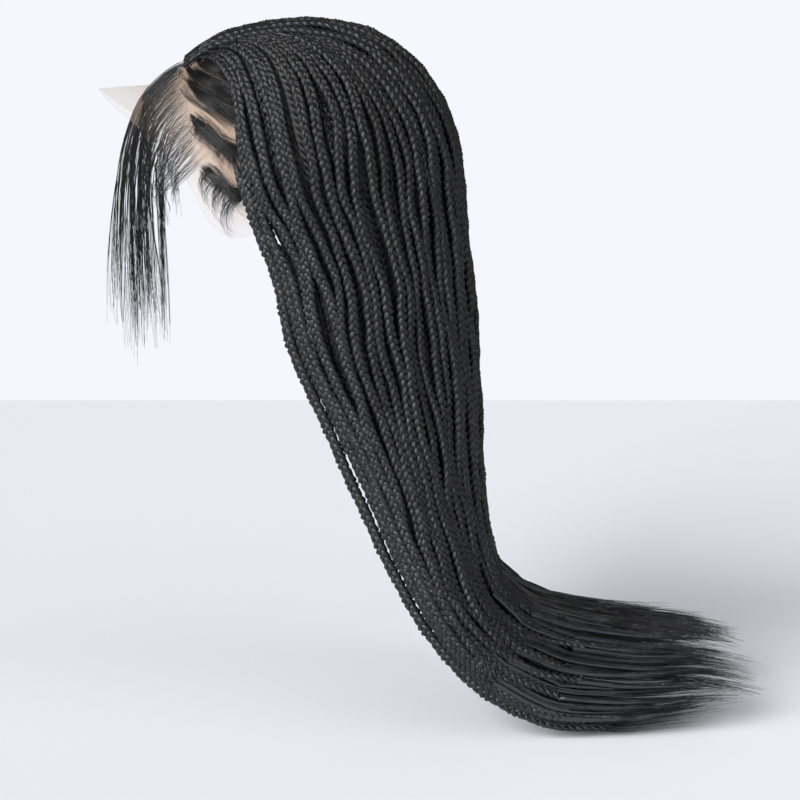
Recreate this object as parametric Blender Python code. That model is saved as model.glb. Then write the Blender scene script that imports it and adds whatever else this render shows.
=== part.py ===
"""A long braided wig on a lace cap, kept in the form that it has on a head.

The origin is the inside of the cap's crown, where the top of the head touches it. +Z is up, the face
looks towards -X, and the wearer's left side is at -Y. Sizes are in millimetres and become metres when
a mesh is made. The braids lie over the cap, fall behind the neck and end lying backwards on a surface.
"""

import math

import bmesh
import bpy
from mathutils import Vector

MM = 0.001

# The head form that the cap is made for
HEAD_CENTRE = Vector((4.0, 0.0, -112.0))
HEAD_HALF_LENGTH = 97.0
HEAD_HALF_WIDTH = 77.0
CROWN_HEIGHT = 112.0
NAPE_HEIGHT = 120.0
FRONT_SQUARENESS = 2.6
BACK_SQUARENESS = 2.2

# The cap
CAP_WALL = 1.2
LACE_WALL = 1.0
PANEL_GAP = 0.35
CAP_TURNS = 24
CAP_RINGS = 6
LACE_COLUMNS = 24
LACE_RINGS = 6
LACE_SPREAD = 1.3
FLAP_START = 0.667

# The hair over the cap
HAIR_CLEARANCE = 1.9
ROOT_THICKNESS = 5.0
FALL_THICKNESS = 13.5
BACK_EXTRA_THICKNESS = 13.8
TOP_SHARE = 1 / 3
TOP_AZIMUTH = 20
PARTING_START = 0.40
PARTING_END = 0.015
PARTING_WIDTH = 3.5
PAST_PARTING = 1e-6
DOME_STEPS = 8
STEP_SPREAD = 1.2

# The braids
BRAID_THICKNESS = 7.0
BRAID_GROOVE = 2.2
GROOVE_SHARE = 0.35
BRAIDS_PER_LOCK = 3
LOCKS_PER_SIDE = 9
LOCK_GAP = 0.6
LAYER_GAP = 0.6
LOCK_TAPER_STEPS = 3
LOCK_TIP_SHARE = 0.22
UNDER_LOCKS_PER_SIDE = 3
LEAST_UNDER_THICKNESS = 2.0
UNDER_SHORT_OF = 1.3
FRONT_BRAID_RADIUS = 3.0
FRONT_BRAID_OFFSETS = (3.8, 10.6)

# The hairline: how far round from the middle of the face, and how high above the head's widest level
HAIRLINE = [
    # azimuth, elevation, in degrees
    (-20, 45),
    (0, 53),
    (20, 45),
    (36, 33),
    (46, 18),
    (52, 1),
    (66, -10),
]

# Where the dark net ends and the sheer lace begins, and the edges of both, by azimuth from the face
CAP_EDGES = [
    # azimuth, net_edge, lace_edge, lace_lift
    (-9, 79, 27, 33),
    (0, 80, 29, 44),
    (9, 79, 27, 33),
    (18, 76, 24, 14),
    (28, 71, 21, 5),
    (40, 62, 10, 2),
    (54, 50, -10, 0),
    (70, 32, -17, 0),
    (84, 14, -9, 0),
    (100, -3, -6, 0),
    (125, -16, -16, 0),
    (150, -28, -28, 0),
    (180, -31, -31, 0),
    (210, -28, -28, 0),
]
LACE_END = 98

# Sections through the hanging hair, each an ellipse open at the front and leaning back by tilt degrees
SECTIONS = [
    # x, z, tilt, sweep, back, side, back_wall, side_wall, on_floor
    (35, -160, 0, 106, 99, 93, 28, 15, 0.0),
    (46, -210, 0, 107, 92, 91, 32, 18, 0.0),
    (63, -260, 0, 107, 78, 90, 32, 18, 0.0),
    (80, -310, 0, 107, 63, 93, 31, 19, 0.0),
    (97, -354, 6, 107, 52, 97, 30, 20, 0.0),
    (118, -396, 22, 107, 43, 100, 28, 20, 0.0),
    (148, -431, 45, 107, 45, 97, 30, 20, 0.1),
    (190, -453, 68, 107, 48, 91, 33, 20, 0.6),
    (241, -459, 84, 107, 43, 82, 34, 20, 1.0),
    (296, -458, 90, 107, 34, 70, 30, 18, 1.0),
    (342, -463, 90, 107, 23, 58, 18, 16, 1.0),
]
FLOOR = -483.5
HEAD_SWEEP = 98
# How many of the last sections each lock stops short of, from the middle of the back to the front edge
LOCK_ENDS = [1.2, 0.9, 0.5, 0.15, 0.0, 0.1, 0.4, 0.8, 1.1]

# The gathered rows at the temple: where each starts on the hairline and where its braid leaves it
TEMPLE_ROWS = [
    # start_azimuth, start_elevation, end_azimuth, end_elevation, half_width
    (32, 43, 60, 32, 5.5),
    (41, 31, 58, 19, 5.0),
    (50.5, 13, 60, 4, 4.0),
]
ROW_HEIGHT = 5.0

# Where the loose front braids bend over the temple: azimuth, elevation and lift over the head, for each
FRONT_BRAID_BENDS = [
    [(68, 19, 8.5), (72, 4, 9.5)],
    [(64, 7, 8.5), (67.5, -5, 9.5)],
]
FRONT_BRAID_SECTIONS = 9

# The fine hair before the hairline, as strips that leave the lace and fall past the face
FRINGE_STRIPS = [
    # azimuth, fall_x, fall_y, fall_z, half_width
    (15, -113, 14, -210, 2.6),
    (20, -108, 25, -228, 3.0),
    (27, -101, 37, -216, 3.0),
    (34, -91, 48, -222, 2.8),
    (41, -82, 56, -160, 2.4),
]
FRINGE_WALL = 1.2
FRINGE_STEPS = 5
FRINGE_LIFTS = (1.6, 4.0, 5.8)
FRINGE_STEP_OUT = 9.0

NET_BLACK = (0.012, 0.011, 0.012, 1)
LACE_BEIGE = (0.56, 0.38, 0.27, 1)
HAIR_BLACK = (0.010, 0.010, 0.012, 1)


# Tables and curves
def read_table(rows, at):
    """The row of a table at a value of its first column, on a smooth curve through the rows."""
    last = len(rows) - 2
    index = next((i for i in range(last) if at < rows[i + 1][0]), last)
    before, after = rows[index], rows[index + 1]
    span = after[0] - before[0]
    part = (at - before[0]) / span
    found = [at]
    for column in range(1, len(before)):
        slopes = []
        for here in (index, index + 1):
            low, high = rows[max(here - 1, 0)], rows[min(here + 1, len(rows) - 1)]
            slopes.append((high[column] - low[column]) / (high[0] - low[0]) * span)
        a, b = before[column], after[column]
        cubic = 2 * a - 2 * b + slopes[0] + slopes[1]
        square = 3 * b - 3 * a - 2 * slopes[0] - slopes[1]
        found.append(((cubic * part + square) * part + slopes[0]) * part + a)
    return found


def bezier(a, b, c, d, part):
    rest = 1 - part
    return a * rest**3 + b * 3 * rest**2 * part + c * 3 * rest * part**2 + d * part**3


def smooth_step(part):
    return part * part * (3 - 2 * part)


def mix(a, b, part):
    return a + (b - a) * part


# The head form
def heading(azimuth, elevation, side=1):
    """A unit vector from the head's centre: azimuth runs from the face, towards -Y where side is -1."""
    turn, rise = math.radians(azimuth), math.radians(elevation)
    across = math.cos(rise)
    return Vector((-math.cos(turn) * across, side * math.sin(turn) * across, math.sin(rise)))


def on_head(direction, lift=0.0):
    """The point of the head form in a direction from its centre, or lift millimetres above it."""
    ray = direction.normalized()
    level = math.hypot(ray.x, ray.y)
    backness = (1 + ray.x / level) / 2 if level else 0.5
    power = mix(FRONT_SQUARENESS, BACK_SQUARENESS, backness)
    height = CROWN_HEIGHT if ray.z > 0 else NAPE_HEIGHT
    across = math.hypot(ray.x / HEAD_HALF_LENGTH, ray.y / HEAD_HALF_WIDTH)
    radius = (across**power + (abs(ray.z) / height) ** power) ** (-1 / power)
    return HEAD_CENTRE + ray * (radius + lift)


def head_level(angle, side):
    """The direction of a point on the head's widest level, by its angle from the back of the head."""
    turn = math.radians(angle)
    x, y = HEAD_HALF_LENGTH * math.cos(turn), HEAD_HALF_WIDTH * math.sin(turn)
    return Vector((x, side * y, 0))


# The flow of the hair
def section_points(row, share, side):
    """The outer and inner point of a hanging section, at a share of the way round to its front edge."""
    x, z, tilt, sweep, back, half, back_wall, side_wall, on_floor = row
    turn, lean = math.radians(share * sweep), math.radians(tilt)
    away = Vector((math.cos(lean), 0, math.sin(lean)))
    across = Vector((0, side, 0))
    centre = Vector((x, 0, z))
    outer = centre + away * back * math.cos(turn) + across * half * math.sin(turn)
    inner = centre + away * (back - back_wall) * math.cos(turn)
    inner += across * (half - side_wall) * math.sin(turn)
    return outer, mix(inner, Vector((outer.x, inner.y, FLOOR)), on_floor)


def fall_frame(share, side):
    """Where a braid leaves the head's widest level, and the way back up along it."""
    angle = share * HEAD_SWEEP
    level = on_head(head_level(angle, side))
    outer, _ = section_points(SECTIONS[0], share, side)
    thickness = fall_thickness(angle)
    upwards = (on_head(head_level(angle, side), thickness) - outer).normalized()
    return level, upwards


def fall_thickness(angle):
    return FALL_THICKNESS + BACK_EXTRA_THICKNESS * math.cos(math.radians(angle) / 2) ** 4


def top_route(share, side, part):
    """A braid of the top: from the hairline straight back over the crown, then down the back."""
    azimuth, elevation = read_table(HAIRLINE, share / TOP_SHARE * TOP_AZIMUTH)
    root = on_head(heading(azimuth, elevation, side))
    level, upwards = fall_frame(share, side)
    ahead = root + Vector((95, side * 22 * share, 45))
    return bezier(root, ahead, level + upwards * 95, level, part) - HEAD_CENTRE


def side_route(share, side, part):
    """A braid of the side: from the parting beside the top rows, down over the side of the head."""
    progress = (share - TOP_SHARE) / (1 - TOP_SHARE)
    along = mix(PARTING_START, PARTING_END, min(progress, 1) ** 0.85)
    beside = top_route(TOP_SHARE, side, along)
    next_to = top_route(TOP_SHARE, side, along + 0.02)
    forward = (next_to - beside).normalized()
    outwards = beside.normalized()
    downwards = forward.cross(outwards) * side
    downwards *= math.copysign(1, downwards.y * side)
    root = on_head(beside + downwards * PARTING_WIDTH)
    level, upwards = fall_frame(share, side)
    reach = (level - root).length
    start = (forward * mix(1.0, 0.95, progress) + downwards * mix(0.15, 0.55, progress)).normalized()
    after_root = root + start * reach * 0.38
    own = bezier(root, after_root, level + upwards * reach * 0.42, level, part) - HEAD_CENTRE
    beside_top = top_route(TOP_SHARE, side, mix(along, 1, part)).normalized() * own.length
    beside_top += downwards * mix(PARTING_WIDTH, 0, part) + (level - HEAD_CENTRE - top_route(TOP_SHARE, side, 1)) * part
    return mix(own, beside_top, max(0.0, 1 - progress) ** 2)


def flow(share, side):
    """The outer and inner points of the hair along one braid, from its root to the last section."""
    route = top_route if share <= TOP_SHARE else side_route
    lift = CAP_WALL + fall_thickness(share * HEAD_SWEEP)
    pairs = []
    for step in range(DOME_STEPS + 1):
        part = (step / DOME_STEPS) ** STEP_SPREAD
        direction = route(share, side, part)
        thickness = mix(CAP_WALL + ROOT_THICKNESS, lift, smooth_step(part) ** 1.3)
        pairs.append((on_head(direction, thickness), on_head(direction, CAP_WALL + HAIR_CLEARANCE)))
    return pairs + [section_points(row, share, side) for row in SECTIONS]


def at_depth(pair, depth):
    """The point a depth in millimetres under the hair's outer surface."""
    outer, inner = pair
    return outer + (inner - outer).normalized() * depth


def wall_of(pair):
    return (pair[1] - pair[0]).length


# Meshes
def make_object(name, mesh_data, material):
    mesh = bpy.data.meshes.new(name)
    mesh_data.to_mesh(mesh)
    mesh_data.free()
    mesh.materials.append(material)
    piece = bpy.data.objects.new(name, mesh)
    bpy.context.scene.collection.objects.link(piece)
    return piece


def face_outwards(built):
    """Turns every face of a closed mesh outwards."""
    bmesh.ops.recalc_face_normals(built, faces=built.faces)
    if built.calc_volume(signed=True) < 0:
        bmesh.ops.reverse_faces(built, faces=built.faces)


def loft(name, rings, material):
    """One closed solid through rings of points, all with the same number of points."""
    built = bmesh.new()
    loops = [[built.verts.new(point * MM) for point in ring] for ring in rings]
    for ring, following in zip(loops, loops[1:]):
        for i in range(len(ring)):
            j = (i + 1) % len(ring)
            a, b, c, d = ring[i], ring[j], following[j], following[i]
            if (a.co - c.co).length < (b.co - d.co).length:
                halves = ((a, b, c), (a, c, d))
            else:
                halves = ((a, b, d), (b, c, d))
            for half in halves:
                built.faces.new(half)
    built.faces.new(loops[0])
    built.faces.new(loops[-1])
    face_outwards(built)
    return make_object(name, built, material)


def walled_sheet(name, columns, wall, material, cells=None):
    """A sheet through columns of points, closed to a wall by Solidify. cells(column, row) keeps a cell."""
    built = bmesh.new()
    grid = [[built.verts.new(point * MM) for point in column] for column in columns]
    for c, (column, following) in enumerate(zip(grid, grid[1:])):
        for r in range(len(column) - 1):
            if cells is None or cells(c, r):
                built.faces.new((column[r], column[r + 1], following[r + 1], following[r]))
    loose = [vert for vert in built.verts if not vert.link_faces]
    bmesh.ops.delete(built, geom=loose, context="VERTS")
    bmesh.ops.remove_doubles(built, verts=built.verts, dist=0.01 * MM)
    bmesh.ops.recalc_face_normals(built, faces=built.faces)
    piece = make_object(name, built, material)
    solidify = piece.modifiers.new("wall", "SOLIDIFY")
    solidify.thickness = wall * MM
    solidify.offset = 0
    solidify.use_even_offset = True
    piece.data.shade_smooth()
    return piece


def material_of(name, colour, roughness):
    material = bpy.data.materials.new(name)
    material.use_nodes = True
    shader = material.node_tree.nodes["Principled BSDF"]
    shader.inputs["Base Color"].default_value = colour
    shader.inputs["Roughness"].default_value = roughness
    shader.inputs["Metallic"].default_value = 0.0
    return material


# The cap: a dark net over the crown and nape, and sheer lace from ear to ear in front of it
def cap_net(material):
    """The stretch net from the crown down to its edge, a closed cup of even wall."""
    built = bmesh.new()
    crown = built.verts.new(on_head(Vector((0, 0, 1)), CAP_WALL / 2) * MM)
    rings = []
    for ring in range(1, CAP_RINGS + 1):
        loop = []
        for turn in range(CAP_TURNS):
            azimuth = 360 * turn / CAP_TURNS
            side = 1 if azimuth <= 180 else -1
            _, net_edge, _, _ = read_table(CAP_EDGES, min(azimuth, 360 - azimuth))
            elevation = mix(90, net_edge, ring / CAP_RINGS)
            direction = heading(min(azimuth, 360 - azimuth), elevation, side)
            loop.append(built.verts.new(on_head(direction, CAP_WALL / 2) * MM))
        rings.append(loop)
    for turn in range(CAP_TURNS):
        following = (turn + 1) % CAP_TURNS
        built.faces.new((crown, rings[0][turn], rings[0][following]))
        for upper, lower in zip(rings, rings[1:]):
            built.faces.new((upper[turn], lower[turn], lower[following], upper[following]))
    bmesh.ops.recalc_face_normals(built, faces=built.faces)
    piece = make_object("cap_net", built, material)
    solidify = piece.modifiers.new("wall", "SOLIDIFY")
    solidify.thickness = CAP_WALL * MM
    solidify.offset = 0
    piece.data.shade_smooth()
    return piece


def flap_rise(lift, part):
    return lift * max(0.0, (part - FLAP_START) / (1 - FLAP_START)) ** 1.6


def lace_front(material):
    """The sheer lace before the net. Its spare front edge stands off the forehead as a flap."""
    columns = []
    gap = math.degrees(PANEL_GAP * 3 / HEAD_HALF_LENGTH)
    for column in range(LACE_COLUMNS + 1):
        across = mix(-1.0, 1.0, column / LACE_COLUMNS)
        azimuth = LACE_END * abs(across) ** LACE_SPREAD
        side = -1 if across < 0 else 1
        _, net_edge, lace_edge, lift = read_table(CAP_EDGES, azimuth)
        points = []
        for ring in range(LACE_RINGS + 1):
            part = ring / LACE_RINGS
            direction = heading(azimuth, mix(net_edge - gap, lace_edge, part), side)
            points.append(on_head(direction, CAP_WALL / 2 + flap_rise(lift, part)))
        columns.append(points)
    return walled_sheet("lace_front", columns, LACE_WALL, material)


# The braids
def lock_shares(first, last):
    """The shares of a lock's braids across its outer face, groove and crest in turn."""
    steps = BRAIDS_PER_LOCK * 2
    return [mix(first, last, i / steps) for i in range(steps + 1)]


def braid_layer(wall):
    """How thick the outer layer of braids is where the whole hair is wall millimetres thick."""
    return min(BRAID_THICKNESS, wall)


def shorten(rings, short_of):
    """Cuts a lock back from the last section, and draws its end to a brush-like point."""
    whole = int(short_of)
    if whole:
        rings = rings[:-whole]
    part = short_of - whole
    rings[-1] = [mix(a, b, part) for a, b in zip(rings[-1], rings[-2])]
    narrowed = rings[:-LOCK_TAPER_STEPS]
    for step, ring in enumerate(rings[-LOCK_TAPER_STEPS:], 1):
        centre = sum(ring, Vector()) / len(ring)
        keep = mix(1.0, LOCK_TIP_SHARE, (step / LOCK_TAPER_STEPS) ** 1.5)
        narrowed.append([mix(centre, point, keep) for point in ring])
    return narrowed


def trimmed(row, gap):
    """A row of points with both ends drawn in, so that half a gap is left to the lock beside it."""
    share = gap / 2 / max((row[0] - row[-1]).length, 1.0)
    return [mix(row[0], row[-1], share)] + row[1:-1] + [mix(row[-1], row[0], share)]


def outer_lock(name, first, last, side, short_of, material):
    """A flat lock of braids side by side, ribbed along its length, that lies on the layer under it."""
    flows = [flow(share, side) for share in lock_shares(first, last)]
    rings = []
    for pairs in zip(*flows):
        outer = []
        for i, pair in enumerate(pairs):
            groove = BRAID_GROOVE if i % 2 == 0 else 0.0
            outer.append(at_depth(pair, min(groove, wall_of(pair) * GROOVE_SHARE)))
        inner = [at_depth(pair, braid_layer(wall_of(pair))) for pair in pairs[::BRAIDS_PER_LOCK][::-1]]
        rings.append(trimmed(outer, LOCK_GAP) + trimmed(inner, LOCK_GAP))
    return loft(name, shorten(rings, short_of), material)


def under_lock(name, first, last, side, material):
    """A wide plain lock between the cap or neck and the outer braids."""
    steps = LOCKS_PER_SIDE // UNDER_LOCKS_PER_SIDE * 2
    flows = [flow(mix(first, last, i / steps), side) for i in range(steps + 1)]
    rings = []
    for pairs in zip(*flows):
        room = min(wall_of(pair) for pair in pairs) - BRAID_THICKNESS - LAYER_GAP
        if room < LEAST_UNDER_THICKNESS:
            continue
        outer = [at_depth(pair, BRAID_THICKNESS + LAYER_GAP) for pair in pairs]
        inner = [pair[1] for pair in pairs[::2][::-1]]
        rings.append(trimmed(outer, LOCK_GAP) + trimmed(inner, LOCK_GAP))
    return loft(name, shorten(rings, UNDER_SHORT_OF), material)


def locks_of(side, word, material):
    """Both layers of locks on one side. A lock that starts at the parting starts just past it."""
    for i in range(LOCKS_PER_SIDE):
        first, last = i / LOCKS_PER_SIDE, (i + 1) / LOCKS_PER_SIDE
        if math.isclose(first, TOP_SHARE):
            first += PAST_PARTING
        outer_lock(f"braid_lock_{word}_{i + 1}", first, last, side, LOCK_ENDS[i], material)
    for i in range(UNDER_LOCKS_PER_SIDE):
        first, last = i / UNDER_LOCKS_PER_SIDE, (i + 1) / UNDER_LOCKS_PER_SIDE
        if math.isclose(first, TOP_SHARE):
            first += PAST_PARTING
        under_lock(f"under_lock_{word}_{i + 1}", first, last, side, material)


def tube(name, centres, radii, sides, material):
    """A round solid along a line of points, with a radius for each."""
    rings = []
    for i, (centre, radius) in enumerate(zip(centres, radii)):
        along = (centres[min(i + 1, len(centres) - 1)] - centres[max(i - 1, 0)]).normalized()
        across = along.cross(Vector((0, 1, 0))).normalized()
        up = along.cross(across)
        ring = []
        for corner in range(sides):
            turn = math.tau * corner / sides
            ring.append(centre + (across * math.cos(turn) + up * math.sin(turn)) * radius)
        rings.append(ring)
    return loft(name, rings, material)


def temple_row(name, row, side, material):
    """Hair gathered flat to the lace from the hairline to where its braid begins."""
    start, end = heading(row[0], row[1], side), heading(row[2], row[3], side)
    steps, corners = 6, 5
    rings = []
    for step in range(steps + 1):
        part = step / steps
        direction = mix(start, end, part)
        along = end - start
        across = along.cross(direction).normalized()
        size = mix(0.45, 1.0, smooth_step(min(1.0, part * 1.6)))
        seat = CAP_WALL + 0.45
        ring = []
        for corner in range(corners + 1):
            turn = math.pi * corner / corners
            aside = across * (math.cos(turn) * row[4] * size / HEAD_HALF_LENGTH)
            ring.append(on_head(direction + aside, seat + math.sin(turn) * ROW_HEIGHT * size))
        rings.append(ring)
    return loft(name, rings, material)


def front_braid(name, row, bends, offset, side, material):
    """One loose braid that leaves a temple row and hangs along the front edge of the rest."""
    start, end = on_head(heading(row[0], row[1], side)), on_head(heading(row[2], row[3], side))
    leaves = on_head(heading(row[2], row[3], side), CAP_WALL + 4.5) + (end - start).normalized() * 5
    centres = [leaves] + [on_head(heading(azimuth, elevation, side), lift) for azimuth, elevation, lift in bends]
    for section in SECTIONS[:FRONT_BRAID_SECTIONS]:
        edge, beside = (at_depth(section_points(section, share, side), FRONT_BRAID_RADIUS) for share in (1, 0.96))
        centres.append(edge + (edge - beside).normalized() * offset)
    radii = [mix(FRONT_BRAID_RADIUS, FRONT_BRAID_RADIUS * 0.8, i / len(centres)) for i in range(len(centres))]
    radii[-1] *= 0.3
    return tube(name, centres, radii, 6, material)


def front_fringe(name, side, material):
    """Long fine hair in strips, joined along the hairline by the band that they are tied to."""
    columns = []
    for azimuth, fall_x, fall_y, fall_z, half_width in FRINGE_STRIPS:
        _, hairline = read_table(HAIRLINE, azimuth)
        _, net_edge, lace_edge, lift = read_table(CAP_EDGES, azimuth)
        fall = Vector((fall_x, side * fall_y, fall_z))
        for edge in (-1, 1):
            spread = azimuth + edge * math.degrees(half_width / HEAD_HALF_LENGTH)
            points = []
            elevations = (hairline - 2, (hairline + lace_edge) / 2, lace_edge + 1)
            for elevation, above_lace in zip(elevations, FRINGE_LIFTS):
                part = (net_edge - elevation) / (net_edge - lace_edge)
                height = CAP_WALL + above_lace + flap_rise(lift, part)
                points.append(on_head(heading(spread, elevation, side), height))
            brow = points.pop()
            ahead = brow + (brow - points[-1]).normalized() * FRINGE_STEP_OUT
            aside = Vector((0, side * edge * half_width * 0.3, 0))
            above = Vector((mix(ahead.x, fall.x, 0.7), ahead.y, ahead.z - 30))
            for step in range(FRINGE_STEPS + 1):
                points.append(bezier(brow, ahead, above, fall + aside, step / FRINGE_STEPS))
            columns.append(points)
    return walled_sheet(name, columns, FRINGE_WALL, material, cells=lambda c, r: c % 2 == 0 or r == 0)


def build():
    for old in list(bpy.data.objects):
        bpy.data.objects.remove(old)
    net = material_of("stretch_net", NET_BLACK, 0.8)
    lace = material_of("sheer_lace", LACE_BEIGE, 0.7)
    hair = material_of("synthetic_hair", HAIR_BLACK, 0.42)
    cap_net(net)
    lace_front(lace)
    for side, word in ((-1, "left"), (1, "right")):
        locks_of(side, word, hair)
        front_fringe(f"front_fringe_{word}", side, hair)
        for number, row in enumerate(TEMPLE_ROWS, 1):
            temple_row(f"temple_row_{word}_{number}", row, side, hair)
        for number, (row, bends) in enumerate(zip(TEMPLE_ROWS, FRONT_BRAID_BENDS), 1):
            offset = FRONT_BRAID_OFFSETS[number - 1]
            front_braid(f"front_braid_{word}_{number}", row, bends, offset, side, hair)


build()
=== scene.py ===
# %% [markdown]
# # A braided wig on a lace cap
#
# This lesson dresses a simple model of a long box-braid wig. The simple model gives the sizes; here each of its
# plain locks becomes real braids, loose ends, lace and fine hair.

import math
import random

import bmesh
import bpy
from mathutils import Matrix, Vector


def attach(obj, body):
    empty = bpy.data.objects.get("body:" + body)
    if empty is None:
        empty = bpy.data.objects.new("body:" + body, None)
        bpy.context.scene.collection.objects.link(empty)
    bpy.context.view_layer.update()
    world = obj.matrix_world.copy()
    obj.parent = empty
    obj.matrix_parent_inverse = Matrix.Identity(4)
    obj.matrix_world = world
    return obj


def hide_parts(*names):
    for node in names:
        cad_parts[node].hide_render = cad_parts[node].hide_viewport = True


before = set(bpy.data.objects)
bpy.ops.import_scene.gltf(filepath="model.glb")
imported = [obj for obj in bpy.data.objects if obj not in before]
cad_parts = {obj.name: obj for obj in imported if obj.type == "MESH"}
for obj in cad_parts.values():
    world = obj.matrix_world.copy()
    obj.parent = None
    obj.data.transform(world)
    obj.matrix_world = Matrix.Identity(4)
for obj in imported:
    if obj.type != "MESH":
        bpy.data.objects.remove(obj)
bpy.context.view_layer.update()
MM = 0.001

# %% [markdown]
# ## Curves through a table
#
# A wig has no straight edges, but its shape is easy to say in a few sections. One function draws a smooth curve
# through the rows of such a table, so every form below can be read as a short list of sizes in millimetres.

# %% Reading a table smoothly


def read_table(rows, at):
    """The row of a table at a value of its first column, on a smooth curve through the rows."""
    last = len(rows) - 2
    index = next((i for i in range(last) if at < rows[i + 1][0]), last)
    before, after = rows[index], rows[index + 1]
    span = after[0] - before[0]
    part = (at - before[0]) / span
    found = [at]
    for column in range(1, len(before)):
        slopes = []
        for here in (index, index + 1):
            low, high = rows[max(here - 1, 0)], rows[min(here + 1, len(rows) - 1)]
            slopes.append((high[column] - low[column]) / (high[0] - low[0]) * span)
        a, b = before[column], after[column]
        cubic = 2 * a - 2 * b + slopes[0] + slopes[1]
        square = 3 * b - 3 * a - 2 * slopes[0] - slopes[1]
        found.append(((cubic * part + square) * part + slopes[0]) * part + a)
    return found


def bezier(a, b, c, d, part):
    """A smooth curve from a to d, which sets off towards b and comes in from c."""
    rest = 1 - part
    return a * rest**3 + b * 3 * rest**2 * part + c * 3 * rest * part**2 + d * part**3


def smooth_step(part):
    part = min(1.0, max(0.0, part))
    return part * part * (3 - 2 * part)


def mix(a, b, part):
    return a + (b - a) * part


print("a hill of 10, read a quarter of the way:", read_table([(0, 0), (1, 10), (2, 0)], 0.5)[1])

# %% [markdown]
# ## The form of the cap
#
# A wig cap is longer than it is wide, and squarer in front than at the back. It could be sculpted by hand, but the
# hair has to follow it at every layer. So it is a formula: a rounded box between an ellipsoid and a cube. Every
# place on the cap is then a direction from its centre, plus a height above its inside.

# %% The cap's form
CAP_CENTRE = Vector((4.0, 0.0, -112.0))
CAP_HALF_LENGTH, CAP_HALF_WIDTH = 97.0, 77.0
CROWN_HEIGHT, NAPE_HEIGHT = 112.0, 120.0
FRONT_SQUARENESS, BACK_SQUARENESS = 2.6, 2.2
CAP_WALL = 1.2


def bearing(azimuth, elevation, side=1):
    """A unit vector from the cap's centre: azimuth runs from the front, towards -Y where side is -1."""
    turn, rise = math.radians(azimuth), math.radians(elevation)
    across = math.cos(rise)
    return Vector((-math.cos(turn) * across, side * math.sin(turn) * across, math.sin(rise)))


def on_cap(direction, lift=0.0):
    """The point of the cap's inside in a direction from its centre, or lift millimetres above it."""
    ray = direction.normalized()
    level = math.hypot(ray.x, ray.y)
    backness = (1 + ray.x / level) / 2 if level else 0.5
    power = mix(FRONT_SQUARENESS, BACK_SQUARENESS, backness)
    height = CROWN_HEIGHT if ray.z > 0 else NAPE_HEIGHT
    across = math.hypot(ray.x / CAP_HALF_LENGTH, ray.y / CAP_HALF_WIDTH)
    radius = (across**power + (abs(ray.z) / height) ** power) ** (-1 / power)
    return CAP_CENTRE + ray * (radius + lift)


def cap_level(angle, side):
    """The direction of a point on the cap's widest level, by its angle from the middle of the back."""
    turn = math.radians(angle)
    return Vector((CAP_HALF_LENGTH * math.cos(turn), side * CAP_HALF_WIDTH * math.sin(turn), 0))


print("the cap is", 2 * CAP_HALF_LENGTH, "x", 2 * CAP_HALF_WIDTH, "mm inside, at its widest level")

# %% [markdown]
# ## The flow of the hair
#
# All the hair follows one flow. A braid is named by its share of the way round, from 0 at the middle of the back
# to 1 at the front edge. The top third start at the front hairline and lie straight back over the crown; the rest
# start beside a parting and fall over the side. Below the cap the flow passes through sections like the hoops of a
# barrel, open at the front, until it lies on the surface behind. Hair could be combed by hand in the viewport, but
# a flow that is worked out keeps the layers from crossing.

# %% The hairline and the hanging sections
HAIRLINE = [
    # azimuth, elevation, in degrees
    (-20, 50),
    (0, 53.5),
    (20, 50),
    (36, 38),
    (46, 21),
    (52, 2),
    (66, -10),
]
SECTIONS = [
    # x, z, tilt, sweep, back, side, back_wall, side_wall, on_floor
    (35, -160, 0, 106, 99, 93, 28, 15, 0.0),
    (46, -210, 0, 107, 92, 91, 32, 18, 0.0),
    (63, -260, 0, 107, 78, 90, 32, 18, 0.0),
    (80, -310, 0, 107, 63, 93, 31, 19, 0.0),
    (97, -354, 6, 107, 52, 97, 30, 20, 0.0),
    (118, -396, 22, 107, 43, 100, 28, 20, 0.0),
    (148, -431, 45, 107, 45, 97, 30, 20, 0.1),
    (190, -453, 68, 107, 48, 91, 33, 20, 0.6),
    (241, -459, 84, 107, 43, 82, 34, 20, 1.0),
    (296, -458, 90, 107, 34, 70, 30, 18, 1.0),
    (342, -463, 90, 107, 23, 58, 18, 16, 1.0),
]
FLOOR = -483.5


def section_points(row, share, side):
    """The outer and inner point of a hanging section, at a share of the way round to its front edge."""
    x, z, tilt, sweep, back, half, back_wall, side_wall, on_floor = row
    turn, lean = math.radians(share * sweep), math.radians(tilt)
    away = Vector((math.cos(lean), 0, math.sin(lean)))
    across = Vector((0, side, 0))
    centre = Vector((x, 0, z))
    outer = centre + away * back * math.cos(turn) + across * half * math.sin(turn)
    inner = centre + away * (back - back_wall) * math.cos(turn)
    inner += across * (half - side_wall) * math.sin(turn)
    return outer, mix(inner, Vector((outer.x, inner.y, FLOOR)), on_floor)


print("sections:", len(SECTIONS), "down to", FLOOR, "mm")

# %% Routes over the cap
CAP_SWEEP = 98
FALL_THICKNESS, BACK_EXTRA_THICKNESS = 13.5, 13.8
TOP_SHARE, TOP_AZIMUTH = 1 / 3, 20
TOP_REACH, TOP_SPREAD, TOP_RISE = 95, 22, 45
PARTING_START, PARTING_END, PARTING_WIDTH = 0.40, 0.015, 2.0


def fall_thickness(angle):
    """How thick the hair is where it leaves the cap: most at the middle of the back."""
    return FALL_THICKNESS + BACK_EXTRA_THICKNESS * math.cos(math.radians(angle) / 2) ** 4


def fall_frame(share, side):
    """Where a braid leaves the cap's widest level, and the way back up along it."""
    angle = share * CAP_SWEEP
    level = on_cap(cap_level(angle, side))
    outer, _ = section_points(SECTIONS[0], share, side)
    upwards = (on_cap(cap_level(angle, side), fall_thickness(angle)) - outer).normalized()
    return level, upwards


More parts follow.
